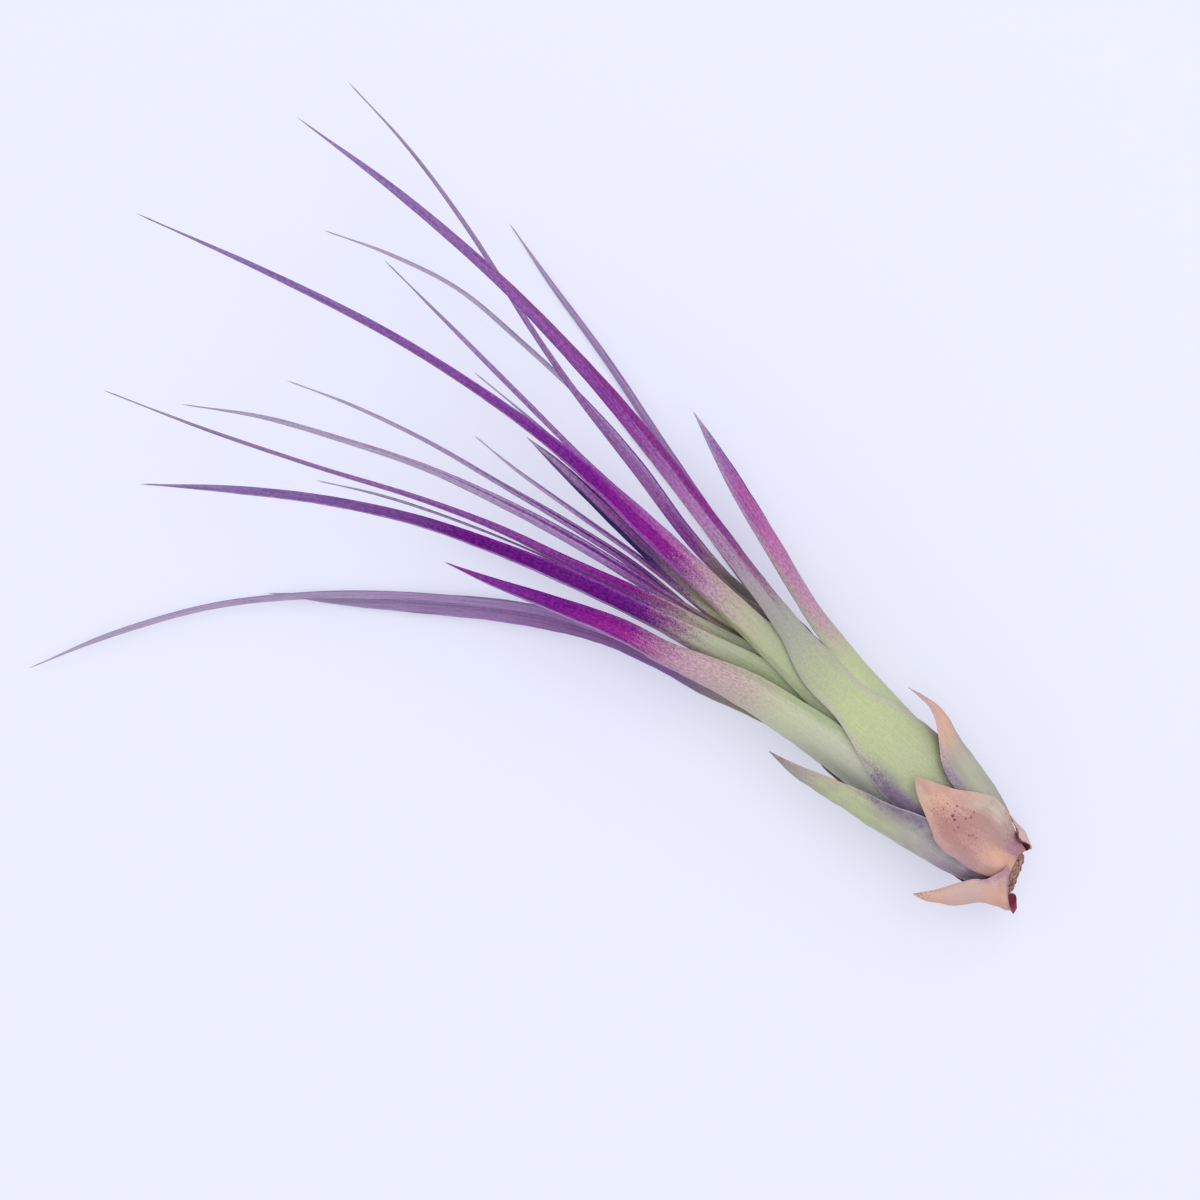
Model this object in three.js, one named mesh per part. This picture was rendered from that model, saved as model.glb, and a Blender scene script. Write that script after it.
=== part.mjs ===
// An air plant lying on a surface: a short cut stem, dried scales round its foot and a rosette of leaves.
// Every leaf is a thin shell. Its sheath wraps the bulb on one ring, and its blade runs on to a point.
// Millimetres. +X runs from the cut stem to the leaf tips, +Z is up, and the plant rests on z = 0.
import * as THREE from "three";

const ORIGIN_X = 80.0;
const ORIGIN_Y = 27.0;
const AXIS_HEIGHT = 9.4;
const RING_PITCH = 0.82;
const FIRST_LEAF_RING = 2;
const EDGE_THICKNESS = 0.35;
const TIP_HALF_WIDTH = 0.12;
const SHEATH_END = 28;
const BLADE_START = 48;
const CUT_DEPTH = 8;
const CUT_SLOPE_SIDE = -0.4;
const CUT_SLOPE_UP = 0.5;
const CUT_SLOPE_DOWN = 0.2;
const STEPS_PER_POINT = 2;
const STEPS_ACROSS = 5;
const PLAN_HEIGHT = 1000;
const PLAN_CENTRE_X = 74.9;
const PLAN_CENTRE_Y = 10.9;

// Sideways place of the bulb's axis, and outer radius of the first leaf ring, both along x.
const AXIS_SIDE = [[0, -0.2], [5, -0.1], [10, -0.3], [15, -0.6]];
const BULB_RADIUS = [
  [0, 2.3], [4, 3.9], [7, 5.1], [10, 6.2], [15, 7.3], [20, 7.7], [25, 7.8],
  [30, 8.2], [35, 8.6], [40, 9.1], [45, 9.8], [50, 10.6], [60, 12.4],
];

// Stem: [x, radius] along the axis.
const STEM_PROFILE = [
  [0.8, 3.0], [2.4, 3.2], [5, 3.4], [8, 2.95], [11.5, 2.45], [15, 1.65], [21, 1.25], [28, 0.8],
];
const STEM_SIDES = 14;

// Sheath points are [x, azimuth, half span] in degrees, azimuth 0 at +Y and 90 on top.
// Blade points are [x, y, z, half width], with x and y as seen in plan.
const SCALES = [
  {
    name: "scale_lowest_left", ring: -1, thick: 0.45, curl: 34, roll: 80, color: 0xd9b3a0, rough: 0.85,
    sheath: [[-0.8, -25, 15], [0.2, 13, 75], [1.5, 12, 66]],
    blade: [
      [3.2, 6.1, 12.9, 3.2], [5, 7.5, 13.5, 3.4], [6.7, 9.05, 12.9, 2.6], [8.3, 10.7, 12.3, 1.35],
      [10.6, 12.3, 11.4, 0],
    ],
  },
  {
    name: "scale_torn_right", ring: -1, thick: 0.45, curl: 30, roll: 170, color: 0xd8bfc0, rough: 0.85,
    sheath: [[0, 180, 8], [1.2, 183, 40], [2.8, 183, 40]],
    blade: [[5.2, -6.12, 8.3, 1.5], [7.5, -6.35, 8.0, 0]],
  },
  {
    name: "scale_middle", ring: 0, thick: 0.45, curl: 24, roll: 91, color: 0xc9a394, rough: 0.85,
    sheath: [[0.3, 117, 44], [5, 104, 50], [10, 100, 46], [13.4, 92, 36], [17.2, 89, 19]],
    blade: [[20.4, -0.7, 19.3, 1.2], [22.2, -1.1, 19.7, 0]],
  },
  {
    name: "scale_right", ring: 1, thick: 0.5, curl: 40, roll: 150, color: 0xa7a58c, rough: 0.8,
    sheath: [[2.6, 157, 48], [6, 155, 47], [10, 152, 46]],
    blade: [
      [15.5, -7.95, 13.6, 5.5], [20, -8.8, 14.2, 5], [24, -10.45, 13.6, 2.8], [27, -11.05, 13.3, 1.2],
      [29.5, -10.8, 13.1, 0.55], [31.8, -10.3, 13, 0],
    ],
  },
  {
    name: "scale_left", ring: 1, thick: 0.5, curl: 40, roll: 42, color: 0xa9ad86, rough: 0.8,
    sheath: [[2.6, 24, 48], [6, 25, 47], [10, 26, 46]],
    blade: [
      [16, 6.95, 13.4, 5.7], [22, 8.1, 13.8, 4.3], [28, 9.1, 14.4, 3.2], [34, 10.35, 14.4, 1.95],
      [38, 10.75, 14.2, 0.85], [41, 10.8, 13.9, 0],
    ],
  },
  {
    name: "scale_under_long", ring: 1, thick: 0.5, curl: 40, roll: 268, color: 0xa8a389, rough: 0.85,
    sheath: [[2.6, 270, 46], [6, 270, 47], [10, 270, 46], [15, 269, 40]],
    blade: [[20, -0.8, 0.05, 4.4], [26, -0.9, 0.05, 2.6], [31, -1.0, 0.15, 1.2], [34, -1.0, 0.35, 0]],
  },
  {
    name: "scale_under_short", ring: 0, thick: 0.45, curl: 30, roll: 296, color: 0xcaa596, rough: 0.85,
    sheath: [[1.6, 296, 44], [5, 296, 46], [9, 295, 36], [12, 293, 20]],
    blade: [[15, 2.2, 0.75, 0]],
  },
];

const LEAVES = [
  {
    name: "leaf_front", ring: 2, thick: 0.5, curl: 42, roll: 96, color: 0x8c5c8f, rough: 0.6,
    sheath: [[5, 108, 56], [11, 108, 56], [18, 107, 57], [25, 107, 56], [30.5, 107, 39], [37, 105, 22]],
    blade: [
      [43.5, -3.6, 18.5, 3.2], [51, -5.2, 19.2, 2.0], [60, -6.9, 20.2, 1.55], [72, -9.2, 22.0, 1.55],
      [86, -11.7, 24.3, 1.45], [100, -13.5, 26.4, 1.2], [118, -14.7, 28.4, 0.9], [138, -14.3, 29.6, 0.66],
      [157.2, -12.5, 29.8, 0],
    ],
  },
  {
    name: "leaf_short_right", ring: 3, thick: 0.5, curl: 42, roll: 102, color: 0xa65f93, rough: 0.6,
    sheath: [[6.5, 178, 54], [13, 178, 54], [20, 176, 54], [27, 173, 51], [34, 169, 45], [41, 165, 36]],
    blade: [
      [50, -10.0, 10.3, 2.9], [60, -12.8, 10.8, 2.2], [70, -15.6, 11.8, 1.65], [78, -17.9, 12.8, 0.8],
      [83.5, -19.5, 13.6, 0],
    ],
  },
  {
    name: "leaf_low_right", ring: 4, thick: 0.45, curl: 40, roll: 250, color: 0x9a8796, rough: 0.65,
    sheath: [[8, 210, 44], [15, 210, 44], [23, 211, 40], [31, 217, 32], [39, 226, 22], [47, 235, 12]],
    blade: [
      [58, -6.6, 2.5, 1.0], [70, -9.5, 1.9, 0.9], [84, -13.0, 1.1, 0.75], [98, -16.6, 0.4, 0.65],
      [112, -19.5, 0.05, 0.45], [122.8, -22, 0.3, 0],
    ],
  },
  {
    name: "leaf_slim_right", ring: 6, thick: 0.42, curl: 40, roll: 112, color: 0x8d6590, rough: 0.62,
    sheath: [[11.5, 162, 42], [19, 160, 42], [27, 154, 36], [35, 145, 27], [42, 137, 20], [49, 127, 13]],
    blade: [
      [58, -4.5, 14.2, 1.1], [70, -4.85, 14.8, 0.9], [84, -7.4, 15.8, 0.8], [98, -9.8, 17.0, 0.6],
      [110, -12.6, 17.6, 0.52], [126, -17.1, 17.8, 0.42], [141, -20.2, 17.2, 0.3], [155, -21.6, 16.4, 0],
    ],
  },
  {
    name: "leaf_crossing", ring: 7, thick: 0.4, curl: 40, roll: 110, color: 0x9a7e96, rough: 0.65,
    sheath: [[13, 176, 42], [20, 174, 42], [28, 168, 36], [36, 158, 28], [43, 152, 20], [51, 148, 12]],
    blade: [
      [60, -4.7, 12.2, 0.8], [72, -6.05, 11.8, 0.62], [84, -8.5, 11.8, 0.6], [96, -9.85, 12.2, 0.52],
      [110, -10.1, 12.6, 0.5], [122, -9.6, 12.8, 0.4], [133, -6.6, 12.8, 0.32], [142.8, -2.6, 12.6, 0],
    ],
  },
  {
    name: "leaf_edge_thin", ring: 5, thick: 0.36, curl: 40, roll: 100, color: 0x7d5a86, rough: 0.62,
    sheath: [[10, 153, 40], [17, 153, 40], [25, 148, 36], [34, 134, 28], [43, 122, 19], [52, 113, 11]],
    blade: [
      [62, -3.0, 16.0, 0.8], [76, -3.2, 17.9, 0.55], [90, -3.15, 20.0, 0.45], [104, -3.85, 22.0, 0.46],
      [118, -4.6, 23.8, 0.34], [133.1, -5.35, 25.2, 0],
    ],
  },
  {
    name: "leaf_centre", ring: 4, thick: 0.5, curl: 42, roll: 86, color: 0x8a4f93, rough: 0.6,
    sheath: [[8, 100, 50], [15, 100, 50], [23, 100, 48], [31, 99, 40], [39, 98, 29], [46, 97, 21]],
    blade: [
      [54, -1.5, 19.0, 2.25], [64, -1.7, 20.6, 1.95], [76, -1.95, 22.8, 1.8], [88, -2.1, 25.2, 1.3],
      [100, -1.45, 27.8, 0.9], [114, 0.35, 30.8, 0.72], [128, 3.1, 33.6, 0.66], [146, 8.1, 36.8, 0.46],
      [165.6, 14.4, 39.4, 0],
    ],
  },
  {
    name: "leaf_hair_centre", ring: 10, thick: 0.3, curl: 40, roll: 100, color: 0x9a9098, rough: 0.65,
    sheath: [[28, 130, 50], [36, 128, 44], [45, 124, 34], [54, 120, 22]],
    blade: [
      [66, -2.5, 13.8, 0.45], [84, -2.5, 16.0, 0.32], [100, -2.35, 18.0, 0.24], [111.9, -1.85, 19.2, 0],
    ],
  },
  {
    name: "leaf_short_blue", ring: 8, thick: 0.36, curl: 40, roll: 84, color: 0x4d4a86, rough: 0.6,
    sheath: [[15, 92, 46], [22, 92, 46], [30, 91, 40], [38, 90, 30], [46, 91, 22], [54, 93, 13]],
    blade: [
      [64, 0.6, 15.8, 1.2], [76, 0.6, 17.8, 1.15], [86, 0.25, 19.6, 1.0], [93.5, 0.05, 20.8, 0.7],
      [99.5, 0.1, 21.6, 0],
    ],
  },
  {
    name: "leaf_thin_centre", ring: 9, thick: 0.34, curl: 40, roll: 76, color: 0x8b7590, rough: 0.65,
    sheath: [[21, 64, 50], [28, 64, 46], [36, 65, 36], [45, 68, 24], [54, 72, 15]],
    blade: [
      [63, 1.5, 14.4, 0.7], [75, 2.35, 15.8, 0.48], [87, 3.7, 17.4, 0.4], [97, 4.8, 18.6, 0.28],
      [105.5, 5.2, 19.4, 0],
    ],
  },
  {
    name: "leaf_mauve_inner", ring: 8, thick: 0.38, curl: 40, roll: 72, color: 0x8f7090, rough: 0.65,
    sheath: [[15, 25, 20], [22, 25, 20], [30, 28, 20], [38, 34, 20], [46, 40, 20], [54, 44, 16]],
    blade: [
      [62, 3.3, 12.2, 0.85], [74, 3.8, 13.6, 0.8], [86, 5.7, 14.9, 0.68], [98, 8.1, 16.0, 0.48],
      [110, 10.6, 16.8, 0.38], [122, 14.1, 17.2, 0.28], [131.9, 17.9, 17.4, 0],
    ],
  },
  {
    name: "leaf_mauve_outer", ring: 7, thick: 0.4, curl: 40, roll: 70, color: 0x85628c, rough: 0.65,
    sheath: [[13, 58, 22], [20, 58, 23], [28, 60, 24], [36, 62, 22], [44, 64, 19], [52, 66, 15]],
    blade: [
      [61, 3.0, 15.0, 1.1], [72, 4.85, 15.8, 0.98], [84, 7.1, 17.2, 1.0], [96, 10.1, 18.8, 0.85],
      [108, 13.9, 20.4, 0.6], [120, 19.1, 21.8, 0.48], [131, 24.5, 22.8, 0.36], [141.2, 31.1, 23.4, 0],
    ],
  },
  {
    name: "leaf_long_slim", ring: 6, thick: 0.42, curl: 40, roll: 72, color: 0x7d4f88, rough: 0.62,
    sheath: [[11.5, 66, 46], [19, 66, 46], [27, 67, 38], [35, 68, 29], [43, 69, 22], [51, 68, 17]],
    blade: [
      [60, 3.8, 16.2, 1.5], [70, 6.4, 17.4, 1.3], [82, 9.9, 19.2, 0.9], [94, 13.4, 21.2, 0.64],
      [106, 18.1, 23.4, 0.46], [120, 24.6, 26.0, 0.36], [136, 31.5, 28.6, 0.28], [151.4, 37.4, 30.6, 0],
    ],
  },
  {
    name: "leaf_hair_left", ring: 9, thick: 0.3, curl: 40, roll: 60, color: 0x8f9488, rough: 0.65,
    sheath: [[21, -40, 40], [28, -38, 38], [36, -32, 32], [45, -24, 24], [54, -14, 15]],
    blade: [
      [64, 5.2, 11, 0.6], [76, 9.2, 13.0, 0.42], [88, 12.6, 15.0, 0.38], [100, 17.0, 16.8, 0.34],
      [110, 21.4, 18.2, 0.28], [118.6, 26.1, 19.0, 0],
    ],
  },
  {
    name: "leaf_wide_left", ring: 5, thick: 0.48, curl: 42, roll: 70, color: 0x6f3f86, rough: 0.6,
    sheath: [[10, 60, 48], [17, 60, 48], [25, 61, 40], [33, 61, 33], [41, 60, 28], [49, 58, 23]],
    blade: [
      [58, 5.5, 17.0, 2.2], [68, 8.1, 18.8, 1.6], [80, 11.6, 21.0, 1.5], [92, 15.8, 23.6, 1.2],
      [104, 20.9, 26.2, 0.95], [116, 27.8, 28.8, 0.82], [127, 35.6, 31.0, 0.64], [137.9, 44.2, 33, 0],
    ],
  },
  {
    name: "leaf_short_left", ring: 3, thick: 0.5, curl: 42, roll: 72, color: 0x9b5a91, rough: 0.6,
    sheath: [
      [6.5, 40, 50], [13, 40, 50], [20, 39, 48], [27, 39, 44], [35, 38, 42], [42, 37, 36], [49, 37, 29],
    ],
    blade: [
      [55.5, 8.8, 16.1, 3.35], [62, 10.85, 17.2, 2.45], [70, 12.75, 18.8, 2.05], [80, 16.4, 21, 1.4],
      [89, 19.9, 22.8, 0.72], [96.1, 22.3, 24.2, 0],
    ],
  },
  {
    name: "leaf_curved_left", ring: 4, thick: 0.42, curl: 40, roll: 300, color: 0x8b7690, rough: 0.68,
    sheath: [[8, 330, 48], [15, 330, 48], [23, 330, 42], [31, 330, 34], [39, 331, 26], [47, 332, 18]],
    blade: [
      [57, 9.4, 4.8, 1.4], [68, 12.9, 4.2, 1.1], [80, 18.2, 3.4, 0.85], [90, 24.8, 2.9, 0.8],
      [100, 32.7, 2.5, 0.8], [109, 41.0, 2.4, 0.66], [118, 51.3, 2.4, 0.56], [126, 64.1, 2.5, 0.46],
      [131.7, 75.8, 2.6, 0],
    ],
  },
  {
    name: "leaf_low_left", ring: 2, thick: 0.45, curl: 38, roll: 292, color: 0x80688a, rough: 0.68,
    sheath: [[5, 338, 46], [11, 336, 46], [18, 330, 46], [25, 316, 42], [32, 304, 36], [39, 299, 28]],
    blade: [
      [49, 8.1, 2.9, 2], [55, 10.1, 2.6, 1.95], [61, 11.35, 2.4, 1.9], [72, 14.9, 1.4, 1.85],
      [84, 21.7, 0.6, 1.9], [95, 29.9, 0.3, 1.6], [104, 37, 0.3, 1], [112.8, 43.6, 0.6, 0],
    ],
  },
  {
    name: "leaf_under_right", ring: 2, thick: 0.45, curl: 40, roll: 262, color: 0x8b7d8c, rough: 0.68,
    sheath: [[5, 232, 42], [11, 232, 42], [18, 234, 40], [26, 236, 33], [34, 238, 24], [42, 242, 16]],
    blade: [
      [52, -5.0, 0.9, 1.6], [63, -7.0, 0.3, 1.3], [76, -9.6, 0.1, 1.1], [88, -11.4, 0.1, 0.85],
      [97, -12.9, 0.5, 0],
    ],
  },
  {
    name: "leaf_under_middle", ring: 3, thick: 0.45, curl: 40, roll: 272, color: 0x877a8a, rough: 0.68,
    sheath: [[6.5, 284, 40], [13, 284, 40], [20, 283, 40], [27, 278, 34], [35, 268, 25], [43, 260, 15]],
    blade: [
      [53, -0.6, 1.5, 1.8], [64, -1.5, 1.0, 1.3], [76, -2.0, 0.7, 1.0], [87, -2.0, 0.7, 0.6],
      [94, -1.8, 1.0, 0],
    ],
  },
  {
    name: "leaf_under_left", ring: 5, thick: 0.42, curl: 40, roll: 280, color: 0x877889, rough: 0.68,
    sheath: [[10, 290, 44], [17, 290, 44], [25, 292, 36], [33, 296, 28], [41, 300, 20], [49, 304, 13]],
    blade: [
      [59, 5.4, 4.0, 1.2], [71, 8.6, 3.6, 1.0], [83, 12.4, 3.4, 0.8], [95, 17.0, 3.4, 0.5],
      [104, 21.4, 3.6, 0],
    ],
  },
];

const toRadians = THREE.MathUtils.degToRad;
const X_AXIS = new THREE.Vector3(1, 0, 0);

// Value of a [x, value] table at x, straight between its rows and level past its ends.
function along(table, x) {
  if (x <= table[0][0]) return table[0][1];
  for (let i = 1; i < table.length; i += 1) {
    const [x0, v0] = table[i - 1];
    const [x1, v1] = table[i];
    if (x <= x1) return v0 + ((v1 - v0) * (x - x0)) / (x1 - x0);
  }
  return table[table.length - 1][1];
}

// Outer radius of a ring round the axis at x.
function ringRadius(ring, x) {
  return along(BULB_RADIUS, x) - (ring - FIRST_LEAF_RING) * RING_PITCH;
}

// A point at height z that a viewer straight above the plan's centre sees at (x, y).
function fromPlan(x, y, z) {
  const draw = 1 - (z - AXIS_HEIGHT) / PLAN_HEIGHT;
  const px = PLAN_CENTRE_X + (x - PLAN_CENTRE_X) * draw;
  const py = PLAN_CENTRE_Y + (y - PLAN_CENTRE_Y) * draw;
  return new THREE.Vector3(px, py, z);
}

// The oblique cut: near the foot every point moves along x with its side and height.
function slanted(point) {
  const fade = THREE.MathUtils.clamp(1 - point.x / CUT_DEPTH, 0, 1);
  const above = point.z - AXIS_HEIGHT;
  const lean = CUT_SLOPE_SIDE * point.y + (above > 0 ? CUT_SLOPE_UP : CUT_SLOPE_DOWN) * above;
  return point.clone().setX(point.x + fade * lean);
}

// The leaf's two curves: where its middle runs, and its half width, half angle and azimuth there.
function leafCurves({ ring, sheath, blade, curl, roll }) {
  const places = [];
  const forms = [];
  for (const [x, azimuth, span] of sheath) {
    const angle = toRadians(azimuth);
    const radius = ringRadius(ring, x);
    const side = along(AXIS_SIDE, x) + radius * Math.cos(angle);
    places.push(new THREE.Vector3(x, side, AXIS_HEIGHT + radius * Math.sin(angle)));
    forms.push(new THREE.Vector3(radius * Math.sin(toRadians(span)), span, azimuth));
  }
  const last = forms[forms.length - 1].clone();
  blade.forEach(([x, y, z, halfWidth], i) => {
    const turn = (i + 1) / blade.length;
    places.push(fromPlan(x, y, z));
    const angle = THREE.MathUtils.lerp(last.y, curl, Math.min(1, (i + 1) / 2));
    forms.push(new THREE.Vector3(halfWidth, angle, THREE.MathUtils.lerp(last.z, roll, turn)));
  });
  const curve = (points) => new THREE.CatmullRomCurve3(points, false, "catmullrom", 0.5);
  return { place: curve(places), form: curve(forms), steps: (places.length - 1) * STEPS_PER_POINT };
}

// One cross section: an arc of the half width and half angle, with its outer row and then its inner row.
function section(centre, tangent, form, thick) {
  const halfWidth = Math.max(form.x, TIP_HALF_WIDTH);
  const [halfAngle, azimuth] = [toRadians(form.y), toRadians(form.z)];
  const blend = THREE.MathUtils.smoothstep(centre.x, SHEATH_END, BLADE_START);
  const across = X_AXIS.clone().lerp(tangent, blend).normalize();
  const out = new THREE.Vector3(0, Math.cos(azimuth), Math.sin(azimuth)).projectOnPlane(across).normalize();
  const side = new THREE.Vector3().crossVectors(across, out);
  const radius = halfWidth / Math.sin(halfAngle);
  const depth = Math.min(thick, 0.75 * halfWidth);
  const hub = centre.clone().addScaledVector(out, -radius);
  const rows = [[], []];
  for (let i = 0; i <= STEPS_ACROSS; i += 1) {
    const u = -1 + (2 * i) / STEPS_ACROSS;
    const spoke = out.clone().multiplyScalar(Math.cos(u * halfAngle));
    spoke.addScaledVector(side, Math.sin(u * halfAngle));
    const wall = depth * (1 - (1 - EDGE_THICKNESS) * u * u);
    rows[0].push(slanted(hub.clone().addScaledVector(spoke, radius)));
    rows[1].push(slanted(hub.clone().addScaledVector(spoke, radius - wall)));
  }
  return [...rows[0], ...rows[1].reverse()];
}

// A closed skin over rings of points, flat at the start and drawn to one point at the end.
function skin(rings, tip) {
  const count = rings[0].length;
  const positions = [...rings.flat(), tip].flatMap((point) => point.toArray());
  const indices = [];
  for (let j = 1; j < rings.length; j += 1) {
    for (let i = 0; i < count; i += 1) {
      const next = (i + 1) % count;
      const [a, b] = [(j - 1) * count + i, (j - 1) * count + next];
      indices.push(a, b, a + count, b, b + count, a + count);
    }
  }
  const [end, apex] = [(rings.length - 1) * count, rings.length * count];
  for (let i = 0; i < count; i += 1) indices.push(end + i, end + ((i + 1) % count), apex);
  for (let i = 0; i < count / 2 - 1; i += 1) {
    const [a, b, c, d] = [i, i + 1, count - 2 - i, count - 1 - i];
    indices.push(a, d, b, b, d, c);
  }
  const geometry = new THREE.BufferGeometry();
  geometry.setAttribute("position", new THREE.Float32BufferAttribute(positions, 3));
  geometry.setIndex(indices);
  geometry.computeVertexNormals();
  return geometry;
}

function leafGeometry(leaf) {
  const { place, form, steps } = leafCurves(leaf);
  const rings = [];
  for (let j = 0; j < steps; j += 1) {
    const t = j / steps;
    rings.push(section(place.getPoint(t), place.getTangent(t), form.getPoint(t), leaf.thick));
  }
  return skin(rings, slanted(place.getPoint(1)));
}

function stemGeometry() {
  const rings = STEM_PROFILE.map(([x, radius]) => {
    const points = [];
    for (let i = 0; i < STEM_SIDES; i += 1) {
      const angle = (2 * Math.PI * i) / STEM_SIDES;
      const y = along(AXIS_SIDE, x) + radius * Math.cos(angle);
      points.push(slanted(new THREE.Vector3(x, y, AXIS_HEIGHT + radius * Math.sin(angle))));
    }
    return points;
  });
  const [tipX] = STEM_PROFILE[STEM_PROFILE.length - 1];
  return skin(rings, new THREE.Vector3(tipX + 0.8, along(AXIS_SIDE, tipX), AXIS_HEIGHT));
}

function piece(name, geometry, color, roughness) {
  const mesh = new THREE.Mesh(geometry, new THREE.MeshStandardMaterial({ color, roughness, metalness: 0 }));
  mesh.name = name;
  return mesh;
}

const plant = new THREE.Group();
plant.name = "air_plant";
plant.add(piece("stem", stemGeometry(), 0x9c8070, 0.9));
for (const leaf of [...SCALES, ...LEAVES]) {
  plant.add(piece(leaf.name, leafGeometry(leaf), leaf.color, leaf.rough));
}
plant.position.set(-ORIGIN_X, -ORIGIN_Y, 0);

export default plant;
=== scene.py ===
"""A tillandsia air plant, cut at its stem and lying on a pale surface.

The stem, the dried scales round its foot and every leaf are closed surfaces, worked out with numpy in the
plant's own frame: millimetres, +X from the cut stem to the leaf tips, +Z up. They are then placed in the
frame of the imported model, in metres. Each finish is a set of shader nodes that reads how far along and
across its leaf a point lies.
"""
import logging
from dataclasses import dataclass
from enum import Enum
from math import pi, radians

import bpy
import numpy as np
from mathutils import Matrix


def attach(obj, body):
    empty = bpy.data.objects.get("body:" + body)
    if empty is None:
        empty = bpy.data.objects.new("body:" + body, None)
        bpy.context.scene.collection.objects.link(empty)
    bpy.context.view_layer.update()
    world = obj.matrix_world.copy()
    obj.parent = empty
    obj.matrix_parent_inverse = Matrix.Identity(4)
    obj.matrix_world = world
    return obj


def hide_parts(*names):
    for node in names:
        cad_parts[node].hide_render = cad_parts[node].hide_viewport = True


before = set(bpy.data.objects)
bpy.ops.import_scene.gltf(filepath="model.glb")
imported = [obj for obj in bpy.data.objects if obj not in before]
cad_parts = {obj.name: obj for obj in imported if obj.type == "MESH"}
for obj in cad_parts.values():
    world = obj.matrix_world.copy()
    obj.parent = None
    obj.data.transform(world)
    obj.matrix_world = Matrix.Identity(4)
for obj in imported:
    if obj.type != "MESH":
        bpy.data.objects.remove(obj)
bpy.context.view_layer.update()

LOG = logging.getLogger("air_plant")

MM = 0.001
ORIGIN = np.array([80.0, 27.0, 0.0])
AXIS_HEIGHT = 9.4
RING_PITCH = 0.82
FIRST_LEAF_RING = 2
SHEATH_END = 28.0
BLADE_START = 48.0
CUT_DEPTH = 8.0
CUT_SLOPE_SIDE = -0.4
CUT_SLOPE_UP = 0.5
CUT_SLOPE_DOWN = 0.2
PLAN_HEIGHT = 1000.0
PLAN_CENTRE = np.array([74.9, 10.9])
AXIS_SIDE = ((0, -0.2), (5, -0.1), (10, -0.3), (15, -0.6))
BULB_RADIUS = (
    (0, 2.3), (4, 3.9), (7, 5.1), (10, 6.2), (15, 7.3), (20, 7.7), (25, 7.8),
    (30, 8.2), (35, 8.6), (40, 9.1), (45, 9.8), (50, 10.6), (60, 12.4),
)
STEM_PROFILE = (
    (0.8, 3.0), (2.4, 3.2), (5, 3.4), (8, 2.95), (11.5, 2.45), (15, 1.65), (21, 1.25), (28, 0.8),
)
ROWS_PER_POINT = 9
STEPS_ACROSS = 26
ALONG_SPAN = 200.0


class Tone(Enum):
    """Colours of the plant, as sRGB hex numbers; a few of them are painted shade."""

    LIME = 0xBCC894
    PALE_LIME = 0xC6CCA8
    CELERY = 0xB9C48E
    BONE = 0xBAB8A4
    SAGE = 0xA8B48B
    MOSS = 0x97A07F
    LICHEN = 0xAFB299
    STONE = 0x9B9C93
    PALE_MOSS = 0xB3AE95
    OLIVE = 0x85855C
    # Painted shade: the near-black sheath of inner leaves, seen in the shaded gaps between the outer leaves.
    SHADOW_PINE = 0x38382A
    SILVER = 0xACAD9E
    PEBBLE = 0xA8A097
    ASH = 0xA0969A
    CLOUD = 0xC2BFC6
    FOG = 0xA094A2
    SHADE = 0x776A80
    SAND = 0xC3B4A4
    OAT = 0xC9BCA8
    BLOSSOM = 0xC8A8AC
    BLUSH = 0xBF9BA4
    DUSTY = 0xB0919E
    MULBERRY = 0x8A647A
    ROSE = 0xBA76A2
    PETAL = 0xB38EBA
    FUCHSIA = 0xAE5E9A
    MAGENTA = 0xA0228A
    CERISE = 0x82107F
    PLUM = 0x6A0680
    INDIGO = 0x580270
    ORCHID = 0x8C479A
    LILAC = 0x9E6AA4
    WISTERIA = 0xA685B8
    VIOLET = 0x7B4891
    GRAPE = 0x67287A
    NAVY = 0x12074F
    DUSK = 0x6C4A7C
    HEATHER = 0x8C6CA4
    MAUVE = 0x987CA6
    MIST = 0xA496B2
    HAZE = 0xAEA4B8
    PEACH = 0xD8AB93
    SHELL = 0xD0B2AC
    RUSSET = 0xB0837D
    COCOA = 0xB2928A
    TEA_ROSE = 0xC8A09A
    WINE = 0x7A1E40
    CRIMSON = 0x86113F
    GARNET = 0x5E1226
    STRAW = 0xB2917E
    BARK = 0x80584C
    GREY_ROSE = 0xB39E98
    TAUPE = 0x8A757D
    # Painted shade: the dark grey of inner sheaths, seen in the shaded gaps between the outer leaves.
    SHADOW_GREY = 0x57554E
    # Painted shade: the deep dark violet where the green scales meet the scales below them.
    SHADOW_VIOLET = 0x5E3F66
    MALLOW = 0xA57385
    DRIFT = 0x9F9289
    MISTY = 0xB4A8B6
    LAVENDER = 0xA87CA8
    BERRY = 0x7C3078
    AMETHYST = 0x863F92
    PERIWINKLE = 0x8E80AE
    PEWTER = 0x9290A2
    IRIS = 0xAE90C0


def linear(tone: Tone) -> tuple[float, float, float, float]:
    """Gives a tone as the linear RGBA that shader sockets take.

    Args:
        tone: The named colour.

    Returns:
        Red, green, blue and an alpha of one.
    """
    parts = [(tone.value >> shift & 0xFF) / 255 for shift in (16, 8, 0)]
    red, green, blue = (p / 12.92 if p <= 0.04045 else ((p + 0.055) / 1.055) ** 2.4 for p in parts)
    return red, green, blue, 1.0


@dataclass(frozen=True)
class Run:
    """Tones of one strip of a leaf, from its foot to its tip."""

    foot: Tone
    sheath: Tone
    blush: Tone
    heart: Tone
    blade: Tone
    fade: Tone
    end: Tone

    def tones(self) -> tuple[Tone, ...]:
        """The tones in order."""
        return (self.foot, self.sheath, self.blush, self.heart, self.blade, self.fade, self.end)


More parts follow.
